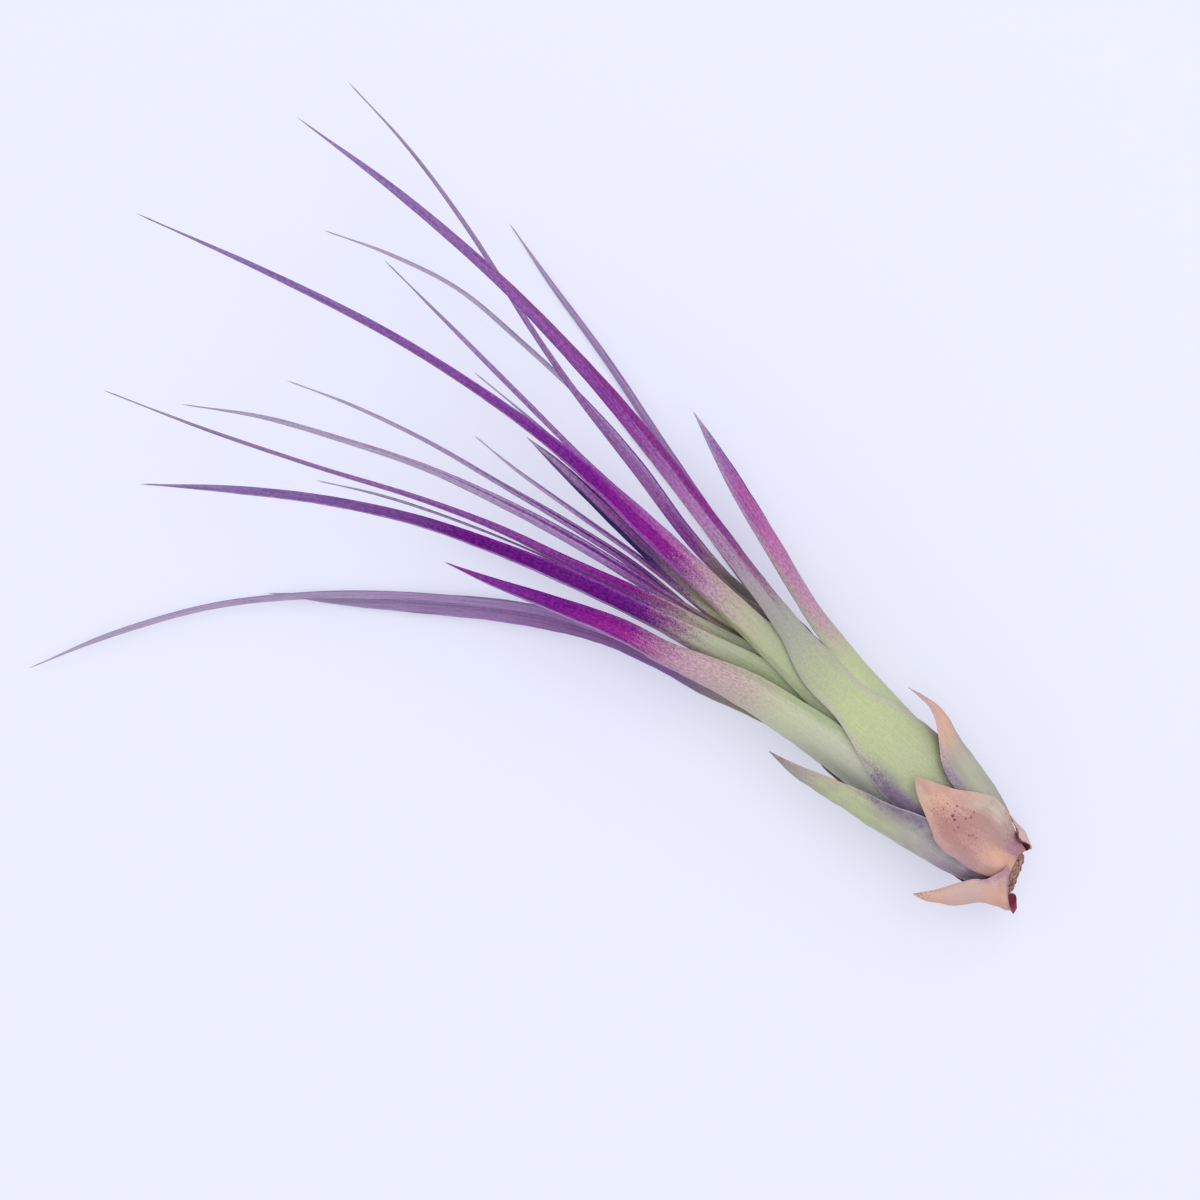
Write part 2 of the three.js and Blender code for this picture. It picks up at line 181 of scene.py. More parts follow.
@dataclass(frozen=True)
class Finish:
    """How a kind of leaf is coloured across and along, and how rough it is.

    Places across run from -1 at the left edge to 1 at the right edge, seen from above looking to the tip.
    """

    body: Run
    stripe: Run
    left: Run
    right: Run
    stripe_centre: float = 0.0
    stripe_half: float = 0.25
    soft: float = 0.25
    left_width: float = 0.12
    right_width: float = 0.12
    inside: Tone = Tone.MAUVE
    inside_share: float = 0.15
    # veil: violet at the sheath's foot and margins, partly the sheath's own tint and partly painted shade.
    veil: float = 0.35
    veil_tone: Tone = Tone.SHADE
    rim: float = 0.6
    veil_reach: float = 32.0
    veil_side: int = 0
    bloom: float = 0.12
    dither: float = 0.55
    blotch: float = 0.0
    blotch_tone: Tone = Tone.RUSSET
    spots: float = 0.0
    roughness: float = 0.58
    ribs: float = 0.3


class Look(Enum):
    """The finishes that a leaf or scale can have."""

    FRONT = "front"
    CENTRE = "centre"
    WIDE = "wide"
    SHORT_LEFT = "short left"
    SHORT_RIGHT = "short right"
    SLIM = "slim"
    LONG = "long"
    MAUVE = "mauve"
    BLUE = "blue"
    LOW = "low"
    HAIR = "hair"
    PAPER = "paper"
    PEACH = "peach"
    TORN = "torn"
    RIGHT_SCALE = "right scale"
    GREEN_SCALE = "green scale"


T = Tone
FINISHES = {
    Look.FRONT: Finish(
        body=Run(T.LICHEN, T.CELERY, T.STONE, T.ASH, T.LAVENDER, T.AMETHYST, T.PERIWINKLE),
        stripe=Run(T.LICHEN, T.CELERY, T.STONE, T.MULBERRY, T.BERRY, T.BERRY, T.PERIWINKLE),
        left=Run(T.SILVER, T.BONE, T.STONE, T.PEBBLE, T.DUSTY, T.AMETHYST, T.PERIWINKLE),
        right=Run(T.SILVER, T.BONE, T.STONE, T.MULBERRY, T.BERRY, T.AMETHYST, T.PERIWINKLE),
        stripe_centre=0.55, stripe_half=0.24, left_width=0.05, right_width=0.1, veil=0.95, veil_side=-1,
    ),
    Look.CENTRE: Finish(
        body=Run(T.MOSS, T.SAGE, T.PALE_MOSS, T.GREY_ROSE, T.FUCHSIA, T.PLUM, T.PERIWINKLE),
        stripe=Run(T.MOSS, T.SAGE, T.PALE_MOSS, T.DUSTY, T.CERISE, T.PLUM, T.PERIWINKLE),
        left=Run(T.MOSS, T.MOSS, T.OLIVE, T.TAUPE, T.ORCHID, T.LILAC, T.MIST),
        right=Run(T.SAGE, T.SAGE, T.PALE_MOSS, T.GREY_ROSE, T.LILAC, T.ORCHID, T.PERIWINKLE),
        stripe_centre=-0.2, stripe_half=0.35, left_width=0.18, right_width=0.25,
    ),
    Look.WIDE: Finish(
        body=Run(T.MOSS, T.SAGE, T.LICHEN, T.MULBERRY, T.INDIGO, T.PLUM, T.PERIWINKLE),
        stripe=Run(T.MOSS, T.SAGE, T.LICHEN, T.MULBERRY, T.INDIGO, T.INDIGO, T.PERIWINKLE),
        left=Run(T.MOSS, T.SAGE, T.GREY_ROSE, T.HAZE, T.IRIS, T.IRIS, T.MIST),
        right=Run(T.MOSS, T.SAGE, T.PALE_MOSS, T.DUSTY, T.ORCHID, T.PLUM, T.PERIWINKLE),
        stripe_centre=0.25, stripe_half=0.4, soft=0.22, left_width=0.3, right_width=0.1,
    ),
    Look.SHORT_LEFT: Finish(
        body=Run(T.CLOUD, T.PALE_LIME, T.OAT, T.BLOSSOM, T.CERISE, T.PLUM, T.AMETHYST),
        stripe=Run(T.CLOUD, T.PALE_LIME, T.OAT, T.BLOSSOM, T.MAGENTA, T.PLUM, T.AMETHYST),
        left=Run(T.FOG, T.PALE_LIME, T.OAT, T.BLOSSOM, T.PETAL, T.IRIS, T.IRIS),
        right=Run(T.MOSS, T.SAGE, T.PALE_MOSS, T.GREY_ROSE, T.BERRY, T.INDIGO, T.GRAPE),
        stripe_half=0.2, soft=0.3, left_width=0.28, right_width=0.08,
    ),
    Look.SHORT_RIGHT: Finish(
        body=Run(T.SILVER, T.CELERY, T.BLUSH, T.ROSE, T.FUCHSIA, T.MAUVE, T.HAZE),
        stripe=Run(T.SILVER, T.CELERY, T.BLUSH, T.ROSE, T.FUCHSIA, T.HEATHER, T.HAZE),
        left=Run(T.SILVER, T.LIME, T.PEBBLE, T.DUSTY, T.PETAL, T.MIST, T.HAZE),
        right=Run(T.SILVER, T.LIME, T.BLUSH, T.DUSTY, T.GRAPE, T.DUSK, T.PEWTER),
        stripe_centre=0.2, left_width=0.2, right_width=0.25,
    ),
    # The foot and sheath tones here are painted shade, dark for the shaded gaps that the sheath shows
    # through.
    Look.SLIM: Finish(
        body=Run(T.SHADOW_PINE, T.SHADOW_GREY, T.TAUPE, T.ORCHID, T.LILAC, T.MAUVE, T.PEWTER),
        stripe=Run(T.SHADOW_PINE, T.SHADOW_GREY, T.TAUPE, T.BERRY, T.LILAC, T.MAUVE, T.PEWTER),
        left=Run(T.SHADOW_PINE, T.OLIVE, T.MULBERRY, T.ORCHID, T.LILAC, T.HEATHER, T.MIST),
        right=Run(T.OLIVE, T.OLIVE, T.SHADOW_GREY, T.GRAPE, T.DUSK, T.MAUVE, T.PEWTER),
        stripe_centre=0.1, stripe_half=0.2, left_width=0.25, right_width=0.1,
    ),
    Look.LONG: Finish(
        body=Run(T.OLIVE, T.MOSS, T.PALE_MOSS, T.DUSTY, T.AMETHYST, T.ORCHID, T.PEWTER),
        stripe=Run(T.OLIVE, T.MOSS, T.PALE_MOSS, T.MULBERRY, T.CERISE, T.ORCHID, T.PEWTER),
        left=Run(T.OLIVE, T.MOSS, T.OLIVE, T.DUSTY, T.ORCHID, T.PETAL, T.HAZE),
        # The right strip's foot is painted shade, dark for the shaded gap between the outer sheaths.
        right=Run(T.SHADOW_PINE, T.MOSS, T.MOSS, T.GREY_ROSE, T.PLUM, T.CERISE, T.PEWTER),
        stripe_centre=0.5, stripe_half=0.28, left_width=0.2, right_width=0.08,
    ),
    Look.MAUVE: Finish(
        body=Run(T.OLIVE, T.OLIVE, T.DUSTY, T.LILAC, T.IRIS, T.HAZE, T.HAZE),
        stripe=Run(T.OLIVE, T.OLIVE, T.MULBERRY, T.GRAPE, T.GRAPE, T.MAUVE, T.HAZE),
        left=Run(T.OLIVE, T.OLIVE, T.MULBERRY, T.LILAC, T.IRIS, T.HAZE, T.HAZE),
        right=Run(T.OLIVE, T.OLIVE, T.OLIVE, T.GRAPE, T.DUSK, T.MAUVE, T.HAZE),
        stripe_centre=0.4, stripe_half=0.1, left_width=0.3, right_width=0.08,
    ),
    Look.BLUE: Finish(
        body=Run(T.OLIVE, T.OLIVE, T.OLIVE, T.TAUPE, T.DUSK, T.HEATHER, T.HAZE),
        stripe=Run(T.OLIVE, T.OLIVE, T.OLIVE, T.TAUPE, T.DUSK, T.LILAC, T.HAZE),
        left=Run(T.OLIVE, T.OLIVE, T.PALE_MOSS, T.DUSK, T.NAVY, T.NAVY, T.HEATHER),
        right=Run(T.OLIVE, T.OLIVE, T.PALE_MOSS, T.DUSTY, T.VIOLET, T.INDIGO, T.HEATHER),
        stripe_centre=0.1, left_width=0.5, right_width=0.3,
    ),
    Look.LOW: Finish(
        body=Run(T.LICHEN, T.BONE, T.IRIS, T.WISTERIA, T.MIST, T.MIST, T.HAZE),
        stripe=Run(T.CELERY, T.BONE, T.IRIS, T.LILAC, T.WISTERIA, T.MIST, T.HAZE),
        left=Run(T.SILVER, T.BONE, T.IRIS, T.LILAC, T.MAUVE, T.MAUVE, T.MIST),
        right=Run(T.SILVER, T.BONE, T.IRIS, T.WISTERIA, T.WISTERIA, T.MIST, T.HAZE),
        stripe_centre=0.2, left_width=0.1, right_width=0.2, dither=0.25,
    ),
    Look.HAIR: Finish(
        body=Run(T.OLIVE, T.OLIVE, T.DUSTY, T.LILAC, T.MAUVE, T.MIST, T.HAZE),
        stripe=Run(T.OLIVE, T.OLIVE, T.DUSTY, T.ORCHID, T.MAUVE, T.MIST, T.HAZE),
        left=Run(T.OLIVE, T.OLIVE, T.OLIVE, T.LILAC, T.MIST, T.HAZE, T.HAZE),
        right=Run(T.OLIVE, T.OLIVE, T.OLIVE, T.GRAPE, T.DUSK, T.MAUVE, T.HAZE),
        left_width=0.2, right_width=0.2,
    ),
    Look.PAPER: Finish(
        body=Run(T.SHELL, T.SHELL, T.SHELL, T.SHELL, T.PEACH, T.PEACH, T.RUSSET),
        stripe=Run(T.PEACH, T.PEACH, T.SHELL, T.SHELL, T.SHELL, T.PEACH, T.RUSSET),
        left=Run(T.SAND, T.SAND, T.SHELL, T.PEACH, T.SHELL, T.PEACH, T.RUSSET),
        right=Run(T.DUSTY, T.DUSTY, T.TEA_ROSE, T.SHELL, T.SHELL, T.PEACH, T.RUSSET),
        stripe_centre=0.2, stripe_half=0.3, left_width=0.06, right_width=0.08,
        inside=T.CRIMSON, inside_share=0.92, bloom=0.1, dither=0.05, blotch=0.35, blotch_tone=T.PEACH,
        roughness=0.75, veil=0.3, veil_tone=T.MALLOW, veil_reach=4.0, rim=0.0,
    ),
    Look.TORN: Finish(
        body=Run(T.SHELL, T.SHELL, T.SHELL, T.SHELL, T.SHELL, T.PEACH, T.PEACH),
        stripe=Run(T.SHELL, T.TEA_ROSE, T.SHELL, T.CLOUD, T.SHELL, T.PEACH, T.PEACH),
        # The wine-red left strip is partly the scale's own red inside and partly painted shade in the slit
        # beside the middle scale.
        left=Run(T.WINE, T.WINE, T.WINE, T.WINE, T.RUSSET, T.PEACH, T.PEACH),
        right=Run(T.RUSSET, T.SHELL, T.SHELL, T.SHELL, T.SHELL, T.PEACH, T.PEACH),
        soft=0.08, left_width=0.1, inside=T.GARNET, inside_share=0.92, bloom=0.1, dither=0.05, blotch=0.3,
        blotch_tone=T.TEA_ROSE, roughness=0.75, veil=0.0, veil_reach=3.0, rim=0.0,
    ),
    Look.PEACH: Finish(
        body=Run(T.MALLOW, T.COCOA, T.COCOA, T.RUSSET, T.TEA_ROSE, T.PEACH, T.TEA_ROSE),
        stripe=Run(T.PEACH, T.PEACH, T.TEA_ROSE, T.RUSSET, T.RUSSET, T.PEACH, T.SAND),
        left=Run(T.PEACH, T.TEA_ROSE, T.DUSTY, T.TEA_ROSE, T.TEA_ROSE, T.PEACH, T.SAND),
        right=Run(T.MALLOW, T.COCOA, T.SAND, T.SAND, T.TEA_ROSE, T.PEACH, T.SAND),
        stripe_centre=-0.35, stripe_half=0.15, soft=0.35, left_width=0.06, right_width=0.4,
        inside=T.CRIMSON, inside_share=0.92, bloom=0.12, dither=0.05, blotch=0.4, blotch_tone=T.RUSSET,
        spots=0.8, roughness=0.75, veil=0.5, veil_tone=T.MALLOW, veil_reach=6.0, veil_side=1, rim=0.0,
    ),
    Look.RIGHT_SCALE: Finish(
        body=Run(T.FOG, T.PEBBLE, T.LICHEN, T.PEBBLE, T.PEACH, T.TEA_ROSE, T.FOG),
        stripe=Run(T.FOG, T.PALE_MOSS, T.LICHEN, T.PALE_MOSS, T.PEACH, T.PEACH, T.FOG),
        left=Run(T.SHADE, T.SHADE, T.SHADE, T.FOG, T.PEACH, T.SHELL, T.FOG),
        right=Run(T.FOG, T.PEBBLE, T.DRIFT, T.PEBBLE, T.COCOA, T.TEA_ROSE, T.FOG),
        stripe_centre=-0.15, stripe_half=0.2, left_width=0.08, right_width=0.3, inside=T.ASH,
        inside_share=0.6, bloom=0.25, dither=0.08, blotch=0.45, blotch_tone=T.GREY_ROSE, roughness=0.68,
        veil=0.85, veil_reach=22.0, veil_side=-1, rim=0.0,
    ),
    # Every strip's foot is painted shade, where the scale meets the scales round the stem.
    Look.GREEN_SCALE: Finish(
        body=Run(T.SHADOW_VIOLET, T.MISTY, T.BONE, T.LICHEN, T.CELERY, T.PEBBLE, T.TAUPE),
        stripe=Run(T.SHADOW_VIOLET, T.MISTY, T.BONE, T.CELERY, T.CELERY, T.PEBBLE, T.TAUPE),
        left=Run(T.SHADOW_VIOLET, T.FOG, T.ASH, T.LICHEN, T.SILVER, T.FOG, T.TAUPE),
        right=Run(T.SHADOW_VIOLET, T.SHADE, T.SHADE, T.SHADE, T.PALE_MOSS, T.GREY_ROSE, T.TAUPE),
        stripe_centre=-0.2, stripe_half=0.3, left_width=0.1, right_width=0.1, inside=T.ASH,
        inside_share=0.6, bloom=0.3, dither=0.08, blotch=0.45, blotch_tone=T.PEBBLE, roughness=0.68,
        veil=0.9, veil_reach=28.0, veil_side=1,
    ),
}


@dataclass(frozen=True)
class Leaf:
    """One leaf or scale: its outline in millimetres, and its finish.

    Sheath points are (x, azimuth, half span) in degrees, azimuth 0 at +Y and 90 on top. Blade points are
    (x, y, z, half width), with x and y as the camera sees them. Zones are the x of the end of the green, the
    blush, the heart, the blade and the fade of its finish.
    """

    name: str
    slot: str
    look: Look
    zones: tuple[float, float, float, float, float]
    ring: int
    thick: float
    curl: float
    roll: float
    sheath: tuple[tuple[float, float, float], ...]
    blade: tuple[tuple[float, float, float, float], ...]


SCALES = (
    Leaf(
        "scale_lowest_left", "dry_scale", Look.PAPER, (2.0, 3.5, 5.5, 7.5, 9.3),
        ring=-1, thick=0.45, curl=34, roll=80,
        sheath=((-0.8, -25, 15), (0.2, 13, 75), (1.5, 12, 66)),
        blade=(
            (3.2, 6.1, 12.9, 3.2), (5, 7.5, 13.5, 3.4), (6.7, 9.05, 12.9, 2.6), (8.3, 10.7, 12.3, 1.35),
            (10.6, 12.3, 11.4, 0),
        ),
    ),
    Leaf(
        "scale_torn_right", "dry_scale", Look.TORN, (1.5, 3.0, 4.2, 5.6, 6.6),
        ring=-1, thick=0.45, curl=30, roll=170,
        sheath=((0, 180, 8), (1.2, 183, 40), (2.8, 183, 40)),
        blade=((5.2, -6.12, 8.3, 1.5), (7.5, -6.35, 8.0, 0)),
    ),
    Leaf(
        "scale_middle", "dry_scale", Look.PEACH, (5, 8, 12, 15, 18),
        ring=0, thick=0.45, curl=24, roll=91,
        sheath=((0.3, 117, 44), (5, 104, 50), (10, 100, 46), (13.4, 92, 36), (17.2, 89, 19)),
        blade=((20.4, -0.7, 19.3, 1.2), (22.2, -1.1, 19.7, 0)),
    ),
    Leaf(
        "scale_right", "green_scale", Look.RIGHT_SCALE, (9, 15, 20, 24, 27.5),
        ring=1, thick=0.5, curl=40, roll=150,
        sheath=((2.6, 157, 48), (6, 155, 47), (10, 152, 46)),
        blade=(
            (15.5, -7.95, 13.6, 5.5), (20, -8.8, 14.2, 5), (24, -10.45, 13.6, 2.8),
            (27, -11.05, 13.3, 1.2), (29.5, -10.8, 13.1, 0.55), (31.8, -10.3, 13, 0),
        ),
    ),
    Leaf(
        "scale_left", "green_scale", Look.GREEN_SCALE, (8.5, 17, 22, 29, 35),
        ring=1, thick=0.5, curl=40, roll=42,
        sheath=((2.6, 24, 48), (6, 25, 47), (10, 26, 46)),
        blade=(
            (16, 6.95, 13.4, 5.7), (22, 8.1, 13.8, 4.3), (28, 9.1, 14.4, 3.2), (34, 10.35, 14.4, 1.95),
            (38, 10.75, 14.2, 0.85), (41, 10.8, 13.9, 0),
        ),
    ),
    Leaf(
        "scale_under_long", "green_scale", Look.GREEN_SCALE, (8, 14, 20, 26, 31),
        ring=1, thick=0.5, curl=40, roll=268,
        sheath=((2.6, 270, 46), (6, 270, 47), (10, 270, 46), (15, 269, 40)),
        blade=(
            (20, -0.8, 0.05, 4.4), (26, -0.9, 0.05, 2.6), (31, -1.0, 0.15, 1.2), (34, -1.0, 0.35, 0),
        ),
    ),
    Leaf(
        "scale_under_short", "dry_scale", Look.PEACH, (4, 7, 10, 12, 14),
        ring=0, thick=0.45, curl=30, roll=296,
        sheath=((1.6, 296, 44), (5, 296, 46), (9, 295, 36), (12, 293, 20)),
        blade=((15, 2.2, 0.75, 0),),
    ),
)

LEAVES = (
    Leaf(
        "leaf_front", "purple_leaf", Look.FRONT, (36, 53, 60, 70, 92),
        ring=2, thick=0.5, curl=42, roll=96,
        sheath=(
            (5, 108, 56), (11, 108, 56), (18, 107, 57), (25, 107, 56), (30.5, 107, 39), (37, 105, 22),
        ),
        blade=(
            (43.5, -3.6, 18.5, 3.2), (51, -5.2, 19.2, 2.0), (60, -6.9, 20.2, 1.55),
            (72, -9.2, 22.0, 1.55), (86, -11.7, 24.3, 1.45), (100, -13.5, 26.4, 1.2),
            (118, -14.7, 28.4, 0.9), (138, -14.3, 29.6, 0.66), (157.2, -12.5, 29.8, 0),
        ),
    ),
    Leaf(
        "leaf_short_right", "magenta_leaf", Look.SHORT_RIGHT, (40, 50, 61, 69, 77),
        ring=3, thick=0.5, curl=42, roll=102,
        sheath=(
            (6.5, 178, 54), (13, 178, 54), (20, 176, 54), (27, 173, 51), (34, 169, 45), (41, 165, 36),
        ),
        blade=(
            (50, -10.0, 10.3, 2.9), (60, -12.8, 10.8, 2.2), (70, -15.6, 11.8, 1.65),
            (78, -17.9, 12.8, 0.8), (83.5, -19.5, 13.6, 0),
        ),
    ),
    Leaf(
        "leaf_low_right", "mauve_leaf", Look.LOW, (46, 60, 76, 94, 112),
        ring=4, thick=0.45, curl=40, roll=250,
        sheath=(
            (8, 210, 44), (15, 210, 44), (23, 211, 40), (31, 217, 32), (39, 226, 22), (47, 235, 12),
        ),
        blade=(
            (58, -6.6, 2.5, 1.0), (70, -9.5, 1.9, 0.9), (84, -13.0, 1.1, 0.75), (98, -16.6, 0.4, 0.65),
            (112, -19.5, 0.05, 0.45), (122.8, -22, 0.3, 0),
        ),
    ),
    Leaf(
        "leaf_slim_right", "purple_leaf", Look.SLIM, (62, 66.5, 71, 80, 112),
        ring=6, thick=0.42, curl=40, roll=112,
        sheath=(
            (11.5, 162, 42), (19, 160, 42), (27, 154, 36), (35, 145, 27), (42, 137, 20), (49, 127, 13),
        ),
        blade=(
            (58, -4.5, 14.2, 1.1), (70, -4.85, 14.8, 0.9), (84, -7.4, 15.8, 0.8),
            (98, -9.8, 17.0, 0.6), (110, -12.6, 17.6, 0.52), (126, -17.1, 17.8, 0.42),
            (141, -20.2, 17.2, 0.3), (155, -21.6, 16.4, 0),
        ),
    ),
    Leaf(
        "leaf_crossing", "mauve_leaf", Look.MAUVE, (60, 67, 72, 84, 106),
        ring=7, thick=0.4, curl=40, roll=110,
        sheath=(
            (13, 176, 42), (20, 174, 42), (28, 168, 36), (36, 158, 28), (43, 152, 20), (51, 148, 12),
        ),
        blade=(
            (60, -4.7, 12.2, 0.8), (72, -6.05, 11.8, 0.62), (84, -8.5, 11.8, 0.6),
            (96, -9.85, 12.2, 0.52), (110, -10.1, 12.6, 0.5), (122, -9.6, 12.8, 0.4),
            (133, -6.6, 12.8, 0.32), (142.8, -2.6, 12.6, 0),
        ),
    ),
    Leaf(
        "leaf_edge_thin", "purple_leaf", Look.SLIM, (54, 62, 69, 82, 108),
        ring=5, thick=0.36, curl=40, roll=100,
        sheath=(
            (10, 153, 40), (17, 153, 40), (25, 148, 36), (34, 134, 28), (43, 122, 19), (52, 113, 11),
        ),
        blade=(
            (62, -3.0, 16.0, 0.8), (76, -3.2, 17.9, 0.55), (90, -3.15, 20.0, 0.45),
            (104, -3.85, 22.0, 0.46), (118, -4.6, 23.8, 0.34), (133.1, -5.35, 25.2, 0),
        ),
    ),
    Leaf(
        "leaf_centre", "purple_leaf", Look.CENTRE, (50, 58, 64, 71.5, 90),
        ring=4, thick=0.5, curl=42, roll=86,
        sheath=((8, 100, 50), (15, 100, 50), (23, 100, 48), (31, 99, 40), (39, 98, 29), (46, 97, 21)),
        blade=(
            (54, -1.5, 19.0, 2.25), (64, -1.7, 20.6, 1.95), (76, -1.95, 22.8, 1.8),
            (88, -2.1, 25.2, 1.3), (100, -1.45, 27.8, 0.9), (114, 0.35, 30.8, 0.72),
            (128, 3.1, 33.6, 0.66), (146, 8.1, 36.8, 0.46), (165.6, 14.4, 39.4, 0),
        ),
    ),
    Leaf(
        "leaf_hair_centre", "grey_leaf", Look.HAIR, (60, 66, 74, 90, 102),
        ring=10, thick=0.3, curl=40, roll=100,
        sheath=((28, 130, 50), (36, 128, 44), (45, 124, 34), (54, 120, 22)),
        blade=(
            (66, -2.5, 13.8, 0.45), (84, -2.5, 16.0, 0.32), (100, -2.35, 18.0, 0.24),
            (111.9, -1.85, 19.2, 0),
        ),
    ),
    Leaf(
        "leaf_short_blue", "blue_leaf", Look.BLUE, (54, 63, 68, 75, 86),
        ring=8, thick=0.36, curl=40, roll=84,
        sheath=((15, 92, 46), (22, 92, 46), (30, 91, 40), (38, 90, 30), (46, 91, 22), (54, 93, 13)),
        blade=(
            (64, 0.6, 15.8, 1.2), (76, 0.6, 17.8, 1.15), (86, 0.25, 19.6, 1.0),
            (93.5, 0.05, 20.8, 0.7), (99.5, 0.1, 21.6, 0),
        ),
    ),
    Leaf(
        "leaf_thin_centre", "mauve_leaf", Look.MAUVE, (58, 65, 71, 82, 96),
        ring=9, thick=0.34, curl=40, roll=76,
        sheath=((21, 64, 50), (28, 64, 46), (36, 65, 36), (45, 68, 24), (54, 72, 15)),
        blade=(
            (63, 1.5, 14.4, 0.7), (75, 2.35, 15.8, 0.48), (87, 3.7, 17.4, 0.4), (97, 4.8, 18.6, 0.28),
            (105.5, 5.2, 19.4, 0),
        ),
    ),
    Leaf(
        "leaf_mauve_inner", "mauve_leaf", Look.MAUVE, (58, 65, 72, 84, 104),
        ring=8, thick=0.38, curl=40, roll=72,
        sheath=((15, 25, 20), (22, 25, 20), (30, 28, 20), (38, 34, 20), (46, 40, 20), (54, 44, 16)),
        blade=(
            (62, 3.3, 12.2, 0.85), (74, 3.8, 13.6, 0.8), (86, 5.7, 14.9, 0.68), (98, 8.1, 16.0, 0.48),
            (110, 10.6, 16.8, 0.38), (122, 14.1, 17.2, 0.28), (131.9, 17.9, 17.4, 0),
        ),
    ),
    Leaf(
        "leaf_mauve_outer", "mauve_leaf", Look.MAUVE, (56, 63, 71, 82, 102),
        ring=7, thick=0.4, curl=40, roll=70,
        sheath=((13, 58, 22), (20, 58, 23), (28, 60, 24), (36, 62, 22), (44, 64, 19), (52, 66, 15)),
        blade=(
            (61, 3.0, 15.0, 1.1), (72, 4.85, 15.8, 0.98), (84, 7.1, 17.2, 1.0), (96, 10.1, 18.8, 0.85),
            (108, 13.9, 20.4, 0.6), (120, 19.1, 21.8, 0.48), (131, 24.5, 22.8, 0.36),
            (141.2, 31.1, 23.4, 0),
        ),
    ),
    Leaf(
        "leaf_long_slim", "purple_leaf", Look.LONG, (56, 62, 66, 72, 88),
        ring=6, thick=0.42, curl=40, roll=72,
        sheath=((11.5, 66, 46), (19, 66, 46), (27, 67, 38), (35, 68, 29), (43, 69, 22), (51, 68, 17)),
        blade=(
            (60, 3.8, 16.2, 1.5), (70, 6.4, 17.4, 1.3), (82, 9.9, 19.2, 0.9), (94, 13.4, 21.2, 0.64),
            (106, 18.1, 23.4, 0.46), (120, 24.6, 26.0, 0.36), (136, 31.5, 28.6, 0.28),
            (151.4, 37.4, 30.6, 0),
        ),
    ),
    Leaf(
        "leaf_hair_left", "grey_leaf", Look.HAIR, (58, 66, 74, 90, 106),
        ring=9, thick=0.3, curl=40, roll=60,
        sheath=((21, -40, 40), (28, -38, 38), (36, -32, 32), (45, -24, 24), (54, -14, 15)),
        blade=(
            (64, 5.2, 11, 0.6), (76, 9.2, 13.0, 0.42), (88, 12.6, 15.0, 0.38), (100, 17.0, 16.8, 0.34),
            (110, 21.4, 18.2, 0.28), (118.6, 26.1, 19.0, 0),
        ),
    ),
    Leaf(
        "leaf_wide_left", "purple_leaf", Look.WIDE, (52, 59, 64, 69, 96),
        ring=5, thick=0.48, curl=42, roll=70,
        sheath=((10, 60, 48), (17, 60, 48), (25, 61, 40), (33, 61, 33), (41, 60, 28), (49, 58, 23)),
        blade=(
            (58, 5.5, 17.0, 2.2), (68, 8.1, 18.8, 1.6), (80, 11.6, 21.0, 1.5), (92, 15.8, 23.6, 1.2),
            (104, 20.9, 26.2, 0.95), (116, 27.8, 28.8, 0.82), (127, 35.6, 31.0, 0.64),
            (137.9, 44.2, 33, 0),
        ),
    ),
    Leaf(
        "leaf_short_left", "magenta_leaf", Look.SHORT_LEFT, (43, 49, 58.5, 68, 80),
        ring=3, thick=0.5, curl=42, roll=72,
        sheath=(
            (6.5, 40, 50), (13, 40, 50), (20, 39, 48), (27, 39, 44), (35, 38, 42), (42, 37, 36),
            (49, 37, 29),
        ),
        blade=(
            (55.5, 8.8, 16.1, 3.35), (62, 10.85, 17.2, 2.45), (70, 12.75, 18.8, 2.05),
            (80, 16.4, 21, 1.4), (89, 19.9, 22.8, 0.72), (96.1, 22.3, 24.2, 0),
        ),
    ),
    Leaf(
        "leaf_curved_left", "mauve_leaf", Look.LOW, (52, 60, 70, 86, 108),
        ring=4, thick=0.42, curl=40, roll=300,
        sheath=(
            (8, 330, 48), (15, 330, 48), (23, 330, 42), (31, 330, 34), (39, 331, 26), (47, 332, 18),
        ),
        blade=(
            (57, 9.4, 4.8, 1.4), (68, 12.9, 4.2, 1.1), (80, 18.2, 3.4, 0.85), (90, 24.8, 2.9, 0.8),
            (100, 32.7, 2.5, 0.8), (109, 41.0, 2.4, 0.66), (118, 51.3, 2.4, 0.56),
            (126, 64.1, 2.5, 0.46), (131.7, 75.8, 2.6, 0),
        ),
    ),
    Leaf(
        "leaf_low_left", "mauve_leaf", Look.LOW, (50, 60, 70, 86, 104),
        ring=2, thick=0.45, curl=38, roll=292,
        sheath=(
            (5, 338, 46), (11, 336, 46), (18, 330, 46), (25, 316, 42), (32, 304, 36), (39, 299, 28),
        ),
        blade=(
            (49, 8.1, 2.9, 2), (55, 10.1, 2.6, 1.95), (61, 11.35, 2.4, 1.9), (72, 14.9, 1.4, 1.85),
            (84, 21.7, 0.6, 1.9), (95, 29.9, 0.3, 1.6), (104, 37, 0.3, 1), (112.8, 43.6, 0.6, 0),
        ),
    ),
    Leaf(
        "leaf_under_right", "mauve_leaf", Look.LOW, (40, 54, 68, 80, 90),
        ring=2, thick=0.45, curl=40, roll=262,
        sheath=(
            (5, 232, 42), (11, 232, 42), (18, 234, 40), (26, 236, 33), (34, 238, 24), (42, 242, 16),
        ),
        blade=(
            (52, -5.0, 0.9, 1.6), (63, -7.0, 0.3, 1.3), (76, -9.6, 0.1, 1.1), (88, -11.4, 0.1, 0.85),
            (97, -12.9, 0.5, 0),
        ),
    ),
    Leaf(
        "leaf_under_middle", "mauve_leaf", Look.LOW, (42, 56, 68, 78, 88),
        ring=3, thick=0.45, curl=40, roll=272,
        sheath=(
            (6.5, 284, 40), (13, 284, 40), (20, 283, 40), (27, 278, 34), (35, 268, 25), (43, 260, 15),
        ),
        blade=(
